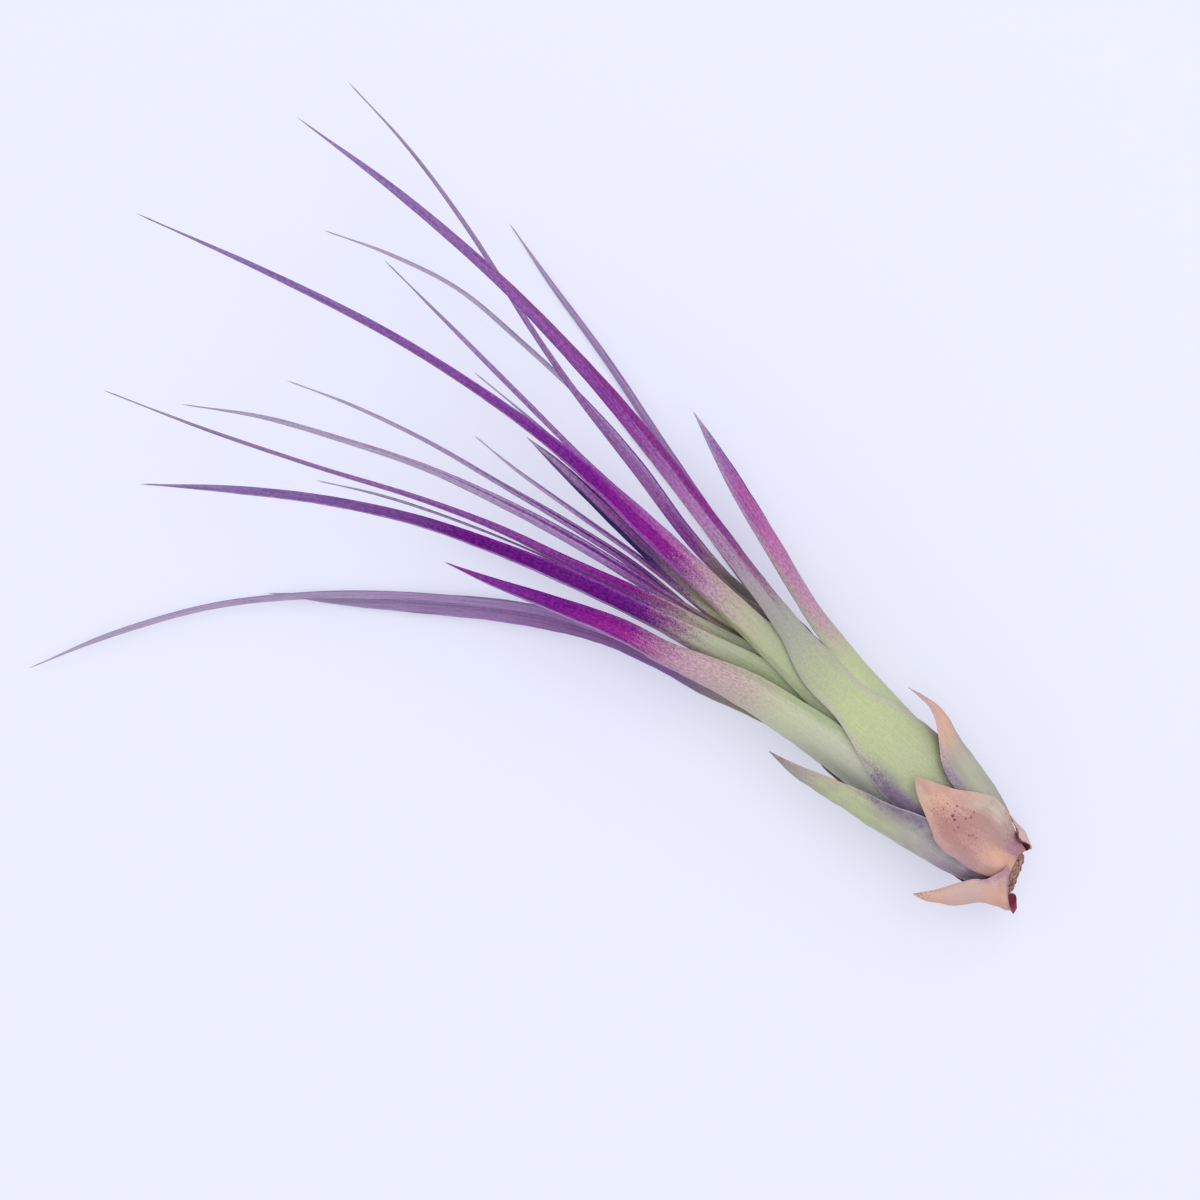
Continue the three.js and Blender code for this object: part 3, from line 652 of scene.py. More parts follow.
            (53, -0.6, 1.5, 1.8), (64, -1.5, 1.0, 1.3), (76, -2.0, 0.7, 1.0), (87, -2.0, 0.7, 0.6),
            (94, -1.8, 1.0, 0),
        ),
    ),
    Leaf(
        "leaf_under_left", "mauve_leaf", Look.LOW, (46, 60, 72, 84, 98),
        ring=5, thick=0.42, curl=40, roll=280,
        sheath=(
            (10, 290, 44), (17, 290, 44), (25, 292, 36), (33, 296, 28), (41, 300, 20), (49, 304, 13),
        ),
        blade=(
            (59, 5.4, 4.0, 1.2), (71, 8.6, 3.6, 1.0), (83, 12.4, 3.4, 0.8), (95, 17.0, 3.4, 0.5),
            (104, 21.4, 3.6, 0),
        ),
    ),
)

STEM_TIP = 0.8
EDGE_SHARE = 0.35
RIM_POWER = 14
MIN_HALF_WIDTH = 0.12
MOST_OF_HALF_WIDTH = 0.75
CREASE_PLACE = 0.18
CREASE_WIDTH = 0.2
CREASE_FROM = 40.0
CREASE_FULL = 60.0
STEM_STEPS_ROUND = 96
STEM_ROWS = 90
CUT_RINGS = 14


def level(table: tuple[tuple[float, float], ...], x: np.ndarray) -> np.ndarray:
    """Reads a table of (x, value) rows: straight between its rows and level past its ends.

    Args:
        table: Rows of x and value.
        x: Where to read it.

    Returns:
        The values at x.
    """
    places, values = zip(*table)
    return np.interp(x, places, values)


def unit(vectors: np.ndarray) -> np.ndarray:
    """Scales each vector of the last axis to length one."""
    return vectors / np.linalg.norm(vectors, axis=-1, keepdims=True)


def smooth_step(x: np.ndarray, low: float, high: float) -> np.ndarray:
    """Rises from 0 at low to 1 at high as 3s^2 - 2s^3, where s is the share of the way."""
    share = np.clip((x - low) / (high - low), 0.0, 1.0)
    return share * share * (3.0 - 2.0 * share)


def catmull_rom(points: np.ndarray, t: np.ndarray) -> tuple[np.ndarray, np.ndarray]:
    """Runs a smooth curve through points.

    Between two points it is the cubic whose slope at each of them is half the step between that point's
    neighbours; past the ends the polygon is carried on straight.

    Args:
        points: Control points, one row each.
        t: Share of the way along, 0 to 1, with equal shares between control points.

    Returns:
        The points of the curve at t, and its slopes there.
    """
    count = len(points) - 1
    rows = np.vstack([2 * points[0] - points[1], points, 2 * points[-1] - points[-2]])
    at = np.clip(t * count, 0.0, count)
    index = np.minimum(at.astype(int), count - 1)
    w = (at - index)[:, None]
    before, start, end, after = (rows[index + k] for k in range(4))
    slope_start, slope_end = (end - before) / 2, (after - start) / 2
    cubic = 2 * (start - end) + slope_start + slope_end
    square = 3 * (end - start) - 2 * slope_start - slope_end
    place = ((cubic * w + square) * w + slope_start) * w + start
    return place, (3 * cubic * w + 2 * square) * w + slope_start


def slanted(points: np.ndarray) -> np.ndarray:
    """Makes the oblique cut: near the foot each point moves along x with its side and its height.

    Args:
        points: Points in the plant's frame, in millimetres.

    Returns:
        The moved points.
    """
    fade = np.clip(1.0 - points[..., 0] / CUT_DEPTH, 0.0, 1.0)
    above = points[..., 2] - AXIS_HEIGHT
    lean = CUT_SLOPE_SIDE * points[..., 1] + np.where(above > 0, CUT_SLOPE_UP, CUT_SLOPE_DOWN) * above
    moved = points.copy()
    moved[..., 0] += fade * lean
    return moved


def from_plan(x: float, y: float, z: float) -> tuple[float, float, float]:
    """Gives the point at height z that the camera, straight above the plan's centre, sees at (x, y)."""
    draw = 1.0 - (z - AXIS_HEIGHT) / PLAN_HEIGHT
    px, py = PLAN_CENTRE + (np.array([x, y]) - PLAN_CENTRE) * draw
    return float(px), float(py), z


@dataclass
class ClosedSkin:
    """Points and maps of a closed surface: rings from a flat start to one point at the end."""

    rings: np.ndarray
    tip: np.ndarray
    leaf_map: np.ndarray
    fibre_map: np.ndarray
    inside: np.ndarray

    def faces(self) -> tuple[list[list[int]], int]:
        """Joins each ring to the next, closes the start with a strip and the end with a fan.

        Returns:
            The faces, outward, and how many of them close the start.
        """
        rows, count = self.rings.shape[:2]
        around = np.arange(count)
        onward = (around + 1) % count
        step = np.arange(rows - 1)[:, None] * count
        corners = [step + around, step + onward, step + onward + count, step + around + count]
        sides = np.stack(corners, axis=-1)
        last = (rows - 1) * count
        fan = np.stack([last + around, last + onward, np.full(count, rows * count)], axis=-1)
        half = count // 2
        near = np.arange(half)
        far = (count - near) % count
        strip = [
            [a, d, c, b] if a != d and b != c else ([a, c, b] if a == d else [a, d, b])
            for a, b, c, d in np.stack([near, near + 1, count - near - 1, far], axis=-1).tolist()
        ]
        return sides.reshape(-1, 4).tolist() + fan.tolist() + strip, len(strip)

    def build(self, name: str) -> bpy.types.Object:
        """Makes the mesh object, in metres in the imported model's frame.

        Args:
            name: The object's name.

        Returns:
            The object, with its maps and its inside mask.
        """
        points = (np.vstack([self.rings.reshape(-1, 3), self.tip[None]]) - ORIGIN) * MM
        faces, flat = self.faces()
        mesh = bpy.data.meshes.new(name)
        mesh.from_pydata(points.tolist(), [], faces)
        smooth = np.ones(len(faces), dtype=bool)
        smooth[-flat:] = False
        mesh.polygons.foreach_set("use_smooth", smooth)
        corners = np.empty(len(mesh.loops), dtype=np.int32)
        mesh.loops.foreach_get("vertex_index", corners)
        for map_name, values in (("leaf", self.leaf_map), ("fibre", self.fibre_map)):
            layer = mesh.uv_layers.new(name=map_name)
            layer.data.foreach_set("uv", values[corners].astype(np.float32).ravel())
        mask = mesh.attributes.new("inside", "FLOAT", "POINT")
        mask.data.foreach_set("value", self.inside.astype(np.float32))
        mesh.validate()
        mesh.update()
        piece = bpy.data.objects.new(name, mesh)
        bpy.context.scene.collection.objects.link(piece)
        return piece


@dataclass
class LeafSurface:
    """The closed surface of one leaf or scale."""

    leaf: Leaf
    steps_across: int = STEPS_ACROSS
    rows_per_point: int = ROWS_PER_POINT
    crease_depth: float = 0.1
    ripple: float = 0.05

    def controls(self) -> tuple[np.ndarray, np.ndarray]:
        """Works out the leaf's control points.

        A sheath point lies on its ring round the bulb's axis. A blade point is seen from above at its x and
        y, and its half angle and azimuth run on to the leaf's curl and roll.

        Returns:
            The places, and the half width, half angle and azimuth at each.
        """
        x, azimuth, span = np.array(self.leaf.sheath, dtype=float).T
        radius = level(BULB_RADIUS, x) - (self.leaf.ring - FIRST_LEAF_RING) * RING_PITCH
        angle = np.radians(azimuth)
        side = level(AXIS_SIDE, x) + radius * np.cos(angle)
        sheath = np.stack([x, side, AXIS_HEIGHT + radius * np.sin(angle)], axis=1)
        sheath_form = np.stack([radius * np.sin(np.radians(span)), span, azimuth], axis=1)
        count = len(self.leaf.blade)
        onward = np.arange(1, count + 1)
        blade = np.array([from_plan(*row[:3]) for row in self.leaf.blade])
        angles = span[-1] + (self.leaf.curl - span[-1]) * np.minimum(1.0, onward / 2)
        turns = azimuth[-1] + (self.leaf.roll - azimuth[-1]) * onward / count
        blade_form = np.stack([[row[3] for row in self.leaf.blade], angles, turns], axis=1)
        return np.vstack([sheath, blade]), np.vstack([sheath_form, blade_form])

    def skin(self) -> ClosedSkin:
        """Sweeps the section along the leaf.

        A section is an arc of the half width and half angle about a hub below it. Its outer line lies at the
        radius and its inner line a wall further in; the wall thins from the middle to the edges, where both
        lines meet in a round rim.

        Returns:
            The leaf's closed skin.
        """
        places, forms = self.controls()
        rows = (len(places) - 1) * self.rows_per_point
        t = np.arange(rows) / rows
        centre, slope = catmull_rom(places, t)
        form, _ = catmull_rom(forms, t)
        length = np.concatenate([[0.0], np.cumsum(np.linalg.norm(np.diff(centre, axis=0), axis=1))])
        half_width = np.maximum(form[:, 0], MIN_HALF_WIDTH)
        half_angle = np.radians(form[:, 1])
        azimuth = np.radians(form[:, 2])
        blend = smooth_step(centre[:, 0], SHEATH_END, BLADE_START)[:, None]
        across = unit(np.array([1.0, 0.0, 0.0]) * (1 - blend) + unit(slope) * blend)
        up = np.stack([np.zeros(rows), np.cos(azimuth), np.sin(azimuth)], axis=1)
        out = unit(up - across * np.sum(up * across, axis=1, keepdims=True))
        side = np.cross(across, out)
        radius = (half_width / np.sin(half_angle))[:, None]
        u = np.sin(np.linspace(-pi / 2, pi / 2, self.steps_across + 1))[None, :]
        turn = (u * half_angle[:, None])[..., None]
        spoke = out[:, None] * np.cos(turn) + side[:, None] * np.sin(turn)
        depth = np.minimum(self.leaf.thick, MOST_OF_HALF_WIDTH * half_width)[:, None]
        wall = depth * (1 - (1 - EDGE_SHARE) * u * u)
        rim = (1 - np.sqrt(np.maximum(0.0, 1 - np.abs(u) ** RIM_POWER))) * depth * EDGE_SHARE / 2
        lift = self.relief(u, centre[:, 0, None], length[:, None], half_width[:, None])
        hub = centre[:, None] - out[:, None] * radius[..., None]
        outer = hub + spoke * (radius + lift - rim)[..., None]
        inner = hub + spoke * (radius + lift - wall + rim)[..., None]
        rings = slanted(np.concatenate([outer, inner[:, -2:0:-1]], axis=1))
        tip = slanted(places[-1][None])[0]
        return self.mapped(rings, tip, u, centre[:, 0], length, half_width, half_angle)

    def relief(self, u: np.ndarray, x: np.ndarray, length: np.ndarray, half_width: np.ndarray) -> np.ndarray:
        """How far the wall stands off its arc, in millimetres.

        A shallow crease runs along the blade, and the edges ripple: a sum of slow sines, strongest at the
        rim.

        Args:
            u: Place across, -1 to 1.
            x: Distance from the cut along the plant.
            length: Distance along the leaf.
            half_width: Half width of the leaf.

        Returns:
            The offsets, for every row and place across.
        """
        phase = 0.9 * sum(map(ord, self.leaf.name)) % (2 * pi)
        size = np.minimum(1.0, half_width / 2.0)
        valley = np.exp(-(((u - CREASE_PLACE) / CREASE_WIDTH) ** 2))
        crease = valley * smooth_step(x, CREASE_FROM, CREASE_FULL)
        wave = np.sin(length * 0.9 + phase) + 0.6 * np.sin(length * 2.1 + 2 * phase + 2 * u)
        fade = smooth_step(length, 4.0, 12.0)
        return size * (-self.crease_depth * crease + self.ripple * wave * u * u * fade)

    def mapped(
        self, rings: np.ndarray, tip: np.ndarray, u: np.ndarray, x: np.ndarray, length: np.ndarray,
        half_width: np.ndarray, half_angle: np.ndarray,
    ) -> ClosedSkin:
        """Adds the maps: place across and along, and millimetres across and along for fibres.

        Args:
            rings: The rings of points.
            tip: The leaf's last point.
            u: Place across, -1 to 1.
            x: Distance from the cut of each ring.
            length: Distance along the leaf of each ring.
            half_width: Half width of each ring.
            half_angle: Half angle of each ring, in radians.

        Returns:
            The closed skin with its maps.
        """
        across = np.concatenate([u[0], u[0, -2:0:-1]])
        rows = len(x)
        arc = half_width * half_angle / np.sin(half_angle)
        leaf_map = np.stack(
            [np.tile((across + 1) / 2, (rows, 1)), np.repeat(x[:, None] / ALONG_SPAN, len(across), axis=1)],
            axis=-1,
        )
        fibre_map = np.stack(
            [arc[:, None] * across[None], np.repeat(length[:, None], len(across), axis=1)], axis=-1
        )
        inner = np.zeros(len(across))
        inner[self.steps_across + 1:] = 1.0
        inner[[0, self.steps_across]] = 0.5
        end = [[0.5, x[-1] / ALONG_SPAN]]
        return ClosedSkin(
            rings, tip, np.vstack([leaf_map.reshape(-1, 2), end]),
            np.vstack([fibre_map.reshape(-1, 2), [[0.0, length[-1]]]]), np.append(np.tile(inner, rows), 0.0),
        )


class Sheet:
    """Adds nodes to one node tree and joins them."""

    def __init__(self, tree: bpy.types.NodeTree) -> None:
        """Keeps the tree that the nodes go into."""
        self.tree = tree

    def add(self, kind: str, feeds: dict | None = None, **settings: object) -> bpy.types.Node:
        """Adds a node.

        Args:
            kind: The node's type name.
            feeds: What each input takes: a socket to join, or a value.
            settings: The node's own settings.

        Returns:
            The node.
        """
        node = self.tree.nodes.new(kind)
        for name, value in settings.items():
            setattr(node, name, value)
        for key, value in (feeds or {}).items():
            self.feed(node.inputs[key], value)
        return node

    def feed(self, socket: bpy.types.NodeSocket, value: object) -> None:
        """Joins a socket to an input, or sets the input's value."""
        if isinstance(value, bpy.types.NodeSocket):
            self.tree.links.new(value, socket)
        else:
            socket.default_value = value

    def math(self, operation: str, a: object, b: object = 0.0, clamp: bool = False) -> bpy.types.NodeSocket:
        """Adds a math node on one or two values."""
        return self.add("ShaderNodeMath", {0: a, 1: b}, operation=operation, use_clamp=clamp).outputs[0]

    def times(self, a: object, b: object, clamp: bool = False) -> bpy.types.NodeSocket:
        """Multiplies two values."""
        return self.math("MULTIPLY", a, b, clamp)

    def plus(self, a: object, b: object) -> bpy.types.NodeSocket:
        """Adds two values."""
        return self.math("ADD", a, b)

    def minus(self, a: object, b: object) -> bpy.types.NodeSocket:
        """Takes b from a."""
        return self.math("SUBTRACT", a, b)

    def rise(self, value: object, low: object, high: object) -> bpy.types.NodeSocket:
        """Adds a smooth rise from 0 at low to 1 at high."""
        feeds = {"Value": value, "From Min": low, "From Max": high}
        return self.add("ShaderNodeMapRange", feeds, interpolation_type="SMOOTHSTEP").outputs[0]

    def mix(self, share: object, a: object, b: object, blend: str = "MIX") -> bpy.types.NodeSocket:
        """Adds a colour mix from a to b."""
        node = self.add("ShaderNodeMix", {0: share, 6: a, 7: b}, data_type="RGBA", blend_type=blend)
        return node.outputs[2]

    def noise(
        self, vector: object, scale: float, detail: float = 2.0, rough: float = 0.5,
    ) -> bpy.types.NodeSocket:
        """Adds a noise texture and gives its value."""
        feeds = {"Vector": vector, "Scale": scale, "Detail": detail, "Roughness": rough}
        return self.add("ShaderNodeTexNoise", feeds).outputs[0]

    def stretch(self, vector: object, scale: tuple[float, float, float]) -> bpy.types.NodeSocket:
        """Scales a vector along each of its axes."""
        return self.add("ShaderNodeMapping", {"Vector": vector, "Scale": scale}).outputs[0]

    def ramp(self, value: object, stops: list[tuple[float, Tone]]) -> bpy.types.NodeSocket:
        """Adds a colour ramp.

        Args:
            value: What the ramp reads.
            stops: Positions from 0 to 1, rising, and their tones.

        Returns:
            The ramp's colour.
        """
        node = self.add("ShaderNodeValToRGB", {0: value})
        elements = node.color_ramp.elements
        for place, _ in stops[2:]:
            elements.new(place)
        for element, (place, tone) in zip(elements, stops):
            element.position = place
            element.color = linear(tone)
        return node.outputs[0]


class SharedGroups:
    """The shader effects that more than one finish uses.

    A stretch says how often a noise changes in a millimetre across and along its leaf, and a scale how often
    it changes in a metre of the plant. Spots lie at a distance from the cut, in millimetres.
    """

    SOCKETS = {"value": "NodeSocketFloat", "colour": "NodeSocketColor", "vector": "NodeSocketVector"}
    WANDER_STRETCH = (1.4, 0.16, 1.0)
    FRAY_STRETCH = (1.6, 0.3, 1.0)
    SHADE_STRETCH = (3.4, 0.15, 1.0)
    GRAIN_STRETCH = (3.6, 1.5, 1.0)
    THREAD_STRETCH = (4.6, 0.09, 1.0)
    NERVE_STRETCH = (4.5, 0.3, 1.0)
    NERVE_PITCH = 0.62
    SPECKLE_SCALE = 4200.0
    PATCH_SCALE = 150.0
    DOT_SCALE = 5200.0
    BLOTCH_SCALE = 330.0
    SPOT_SCALE = 1150.0
    CLOUD_SCALE = 260.0
    SPOT_PLACE = 14.0
    SPOT_FULL = 1.6
    SPOT_NONE = 3.0
    DARKER = (0.6, 0.5, 0.72, 1.0)
    LIGHTER = (0.45, 0.03, 0.42, 1.0)
    THREAD_SHADE = (0.36, 0.34, 0.55, 1.0)

    def __init__(self) -> None:
        """Builds every group once."""
        self.place = self.leaf_place()
        self.bands = self.across_bands()
        self.bloom = self.silver_bloom()
        self.blotches = self.papery_blotches()
        self.margin = self.sheath_margin()
        self.relief = self.leaf_relief()

    def start(
        self, name: str, takes: dict[str, str], gives: dict[str, str],
    ) -> tuple[Sheet, bpy.types.NodeInputs, bpy.types.Node]:
        """Starts a group.

        Args:
            name: The group's name.
            takes: Input names and kinds.
            gives: Output names and kinds.

        Returns:
            The sheet, the sockets that carry the inputs, and the output node.
        """
        tree = bpy.data.node_groups.new(name, "ShaderNodeTree")
        for label, kind in takes.items():
            tree.interface.new_socket(label, in_out="INPUT", socket_type=self.SOCKETS[kind])
        for label, kind in gives.items():
            tree.interface.new_socket(label, in_out="OUTPUT", socket_type=self.SOCKETS[kind])
        sheet = Sheet(tree)
        return sheet, sheet.add("NodeGroupInput").outputs, sheet.add("NodeGroupOutput")

    def leaf_place(self) -> bpy.types.NodeTree:
        """Where a point lies on its leaf: across from -1 to 1, along from 0 to 1, and its fibre map."""
        sheet, takes, gives = self.start(
            "Leaf place", {"Wander": "value", "Speckle": "value"},
            {"Across": "value", "Along": "value", "Fibre": "vector"},
        )
        leaf = sheet.add("ShaderNodeUVMap", uv_map="leaf").outputs[0]
        fibre = sheet.add("ShaderNodeUVMap", uv_map="fibre").outputs[0]
        parts = sheet.add("ShaderNodeSeparateXYZ", {0: leaf}).outputs
        streak = sheet.noise(sheet.stretch(fibre, self.WANDER_STRETCH), 1.0, 2.0)
        shift = sheet.times(sheet.minus(streak, 0.5), takes["Wander"])
        grain = sheet.noise(sheet.add("ShaderNodeTexCoord").outputs["Object"], self.SPECKLE_SCALE, 2.0, 0.6)
        speck = sheet.times(sheet.minus(grain, 0.5), takes["Speckle"])
        shift = sheet.plus(shift, speck)
        across = sheet.minus(sheet.times(parts[0], 2.0), 1.0)
        sheet.feed(gives.inputs["Across"], across)
        sheet.feed(gives.inputs["Along"], sheet.plus(parts[1], shift))
        sheet.feed(gives.inputs["Fibre"], fibre)
        return sheet.tree

    def across_bands(self) -> bpy.types.NodeTree:
        """Lays the stripe and the two edge strips over the body colour, with frayed borders."""
        takes_kinds = {
            "Across": "value", "Fibre": "vector", "Body": "colour", "Stripe": "colour", "Left": "colour",
            "Right": "colour", "Centre": "value", "Half": "value", "Soft": "value", "Left Width": "value",
            "Right Width": "value", "Fray": "value",
        }
        sheet, takes, gives = self.start("Across bands", takes_kinds, {"Colour": "colour"})
        fray = sheet.noise(sheet.stretch(takes["Fibre"], self.FRAY_STRETCH), 1.0, 3.0, 0.6)
        wander = sheet.times(sheet.minus(fray, 0.5), takes["Fray"])
        at = sheet.plus(takes["Across"], wander)
        off = sheet.math("ABSOLUTE", sheet.minus(at, takes["Centre"]))
        soft = takes["Soft"]
        stripe = sheet.rise(off, sheet.plus(takes["Half"], soft), takes["Half"])
        wide, narrow = takes["Left Width"], takes["Right Width"]
        left = sheet.rise(sheet.plus(at, 1.0), sheet.plus(wide, soft), wide)
        right = sheet.rise(sheet.minus(1.0, at), sheet.plus(narrow, soft), narrow)
        colour = sheet.mix(stripe, takes["Body"], takes["Stripe"])
        colour = sheet.mix(left, colour, takes["Left"])
        colour = sheet.mix(right, colour, takes["Right"])
        streak = sheet.noise(sheet.stretch(takes["Fibre"], self.SHADE_STRETCH), 1.0, 3.0, 0.6)
        shade = sheet.plus(sheet.times(streak, 0.24), 0.88)
        sheet.feed(gives.inputs["Colour"], sheet.mix(1.0, colour, shade, "MULTIPLY"))
        return sheet.tree

    def silver_bloom(self) -> bpy.types.NodeTree:
        """Breaks a colour into fine darker and lighter grains, and lays patches of silvery scales over it."""
        takes_kinds = {
            "Colour": "colour", "Bloom": "colour", "Amount": "value", "Dither": "value", "Fibre": "vector",
        }
        sheet, takes, gives = self.start("Silver bloom", takes_kinds, {"Colour": "colour", "Grain": "value"})
        place = sheet.add("ShaderNodeTexCoord").outputs["Object"]
        grain = sheet.noise(sheet.stretch(takes["Fibre"], self.GRAIN_STRETCH), 1.0, 2.0, 0.6)
        patch = sheet.rise(sheet.noise(place, self.PATCH_SCALE, 3.0), 0.4, 0.68)
        dots = sheet.rise(sheet.noise(place, self.DOT_SCALE, 1.0), 0.5, 0.72)
        parts = sheet.add("ShaderNodeSeparateColor", {0: takes["Colour"]}).outputs
        purple = sheet.rise(sheet.minus(parts[0], parts[1]), 0.0, 0.12)
        darker = sheet.mix(1.0, takes["Colour"], self.DARKER, "MULTIPLY")
        lighter = sheet.mix(0.35, takes["Colour"], self.LIGHTER, "SCREEN")
        dithered = sheet.mix(sheet.rise(grain, 0.4, 0.6), darker, lighter)
        strength = sheet.plus(sheet.times(purple, 0.75), 0.25)
        strength = sheet.times(takes["Dither"], strength)
        colour = sheet.mix(strength, takes["Colour"], dithered)
        thread = sheet.noise(sheet.stretch(takes["Fibre"], self.THREAD_STRETCH), 1.0, 2.0, 0.55)
        violet = sheet.rise(sheet.minus(parts[2], parts[1]), 0.03, 0.16)
        thread = sheet.times(sheet.rise(thread, 0.5, 0.36), sheet.times(violet, 0.5))
        colour = sheet.mix(thread, colour, sheet.mix(1.0, colour, self.THREAD_SHADE, "MULTIPLY"))
        patchy = sheet.plus(sheet.times(patch, 0.7), 0.3)
        dotted = sheet.plus(sheet.times(dots, 0.8), 0.35)
        share = sheet.times(sheet.times(takes["Amount"], patchy), dotted, True)
        plain = sheet.minus(1.0, sheet.times(purple, 0.85))
        share = sheet.times(share, plain)
        sheet.feed(gives.inputs["Colour"], sheet.mix(share, colour, takes["Bloom"]))
        sheet.feed(gives.inputs["Grain"], grain)
        return sheet.tree

    def papery_blotches(self) -> bpy.types.NodeTree:
        """Mottles a dried scale with soft blotches, and with dark spots between its middle and its tip."""
        takes_kinds = {
            "Colour": "colour", "Blotch": "colour", "Spot": "colour", "Blotches": "value", "Spots": "value",
            "Along": "value", "Across": "value",
        }
        sheet, takes, gives = self.start("Papery blotches", takes_kinds, {"Colour": "colour"})
        place = sheet.add("ShaderNodeTexCoord").outputs["Object"]
        soft = sheet.rise(sheet.noise(place, self.BLOTCH_SCALE, 4.0, 0.7), 0.42, 0.66)
        share = sheet.times(soft, takes["Blotches"])
        colour = sheet.mix(share, takes["Colour"], takes["Blotch"])
        cells = sheet.add("ShaderNodeTexVoronoi", {"Vector": place, "Scale": self.SPOT_SCALE})
        spots = sheet.rise(cells.outputs["Distance"], 0.36, 0.22)
        away = sheet.math("ABSOLUTE", sheet.minus(takes["Along"], self.SPOT_PLACE / ALONG_SPAN))
        spots = sheet.times(spots, sheet.rise(away, self.SPOT_NONE / ALONG_SPAN, self.SPOT_FULL / ALONG_SPAN))
        aside = sheet.math("ABSOLUTE", takes["Across"])
        spots = sheet.times(spots, sheet.rise(aside, 0.45, 0.25))
        spots = sheet.times(spots, takes["Spots"])
        sheet.feed(gives.inputs["Colour"], sheet.mix(spots, colour, takes["Spot"]))
        return sheet.tree

    def sheath_margin(self) -> bpy.types.NodeTree:
        """Clouds a sheath's foot with violet, most of all along its margins, and lightens its thin rim. The
        violet is partly the sheath's own tint and partly painted shade at its foot and along margins that lie
        against other leaves.
        """
        takes_kinds = {
            "Colour": "colour", "Veil": "colour", "Rim": "colour", "Across": "value", "Along": "value",
            "Reach": "value", "Amount": "value", "Side": "value", "Rim Amount": "value",
        }
        sheet, takes, gives = self.start("Sheath margin", takes_kinds, {"Colour": "colour"})
        place = sheet.add("ShaderNodeTexCoord").outputs["Object"]
        clouds = sheet.rise(sheet.noise(place, self.CLOUD_SCALE, 4.0, 0.6), 0.38, 0.62)
        near = sheet.rise(takes["Along"], takes["Reach"], sheet.times(takes["Reach"], 0.75))
        foot = sheet.rise(takes["Along"], sheet.times(takes["Reach"], 0.85), 0.0)
        both = sheet.math("ABSOLUTE", takes["Across"])
        one = sheet.times(takes["Across"], takes["Side"])
        sided = sheet.math("ABSOLUTE", takes["Side"])
        off = sheet.plus(one, sheet.times(both, sheet.minus(1.0, sided)))
        cloudy = sheet.plus(sheet.times(clouds, 0.6), 0.6)
        band = sheet.times(sheet.rise(off, 0.3, 0.9), cloudy)
        band = sheet.times(band, near)
        share = sheet.plus(sheet.times(sheet.times(clouds, 0.85), foot), band)
        share = sheet.times(share, takes["Amount"], True)
        colour = sheet.mix(share, takes["Colour"], takes["Veil"])
        rim = sheet.times(near, takes["Rim Amount"])
        rim = sheet.times(sheet.rise(off, 0.955, 0.98), rim)
        sheet.feed(gives.inputs["Colour"], sheet.mix(rim, colour, takes["Rim"]))
        return sheet.tree

    def leaf_relief(self) -> bpy.types.NodeTree:
        """Raises fine nerves along the leaf and the grain of its scales, as a normal."""
        takes_kinds = {"Fibre": "vector", "Ribs": "value", "Grain": "value", "Coarse": "value"}
        sheet, takes, gives = self.start("Leaf relief", takes_kinds, {"Normal": "vector"})
        parts = sheet.add("ShaderNodeSeparateXYZ", {0: takes["Fibre"]}).outputs
        nerves = sheet.math("SINE", sheet.times(parts[0], 2 * pi / self.NERVE_PITCH))
        streak = sheet.noise(sheet.stretch(takes["Fibre"], self.NERVE_STRETCH), 1.0, 2.0)
        height = sheet.plus(sheet.times(nerves, 0.18), streak)
        height = sheet.times(height, takes["Ribs"])
        height = sheet.plus(height, sheet.times(takes["Grain"], takes["Coarse"]))
        bump = sheet.add("ShaderNodeBump", {"Strength": 0.7, "Distance": 0.0001, "Height": height})
        sheet.feed(gives.inputs["Normal"], bump.outputs[0])
        return sheet.tree


@dataclass(frozen=True)
class StemFinish:
    """Colours, fibres and roughness of the cut stem, with its noises counted in a metre."""

    bark: Tone = Tone.BARK
    straw: Tone = Tone.STRAW
    wine: Tone = Tone.WINE
    fibre_stretch: tuple[float, float, float] = (250.0, 2600.0, 2600.0)
    lump_scale: float = 700.0
    roughness: float = 0.88


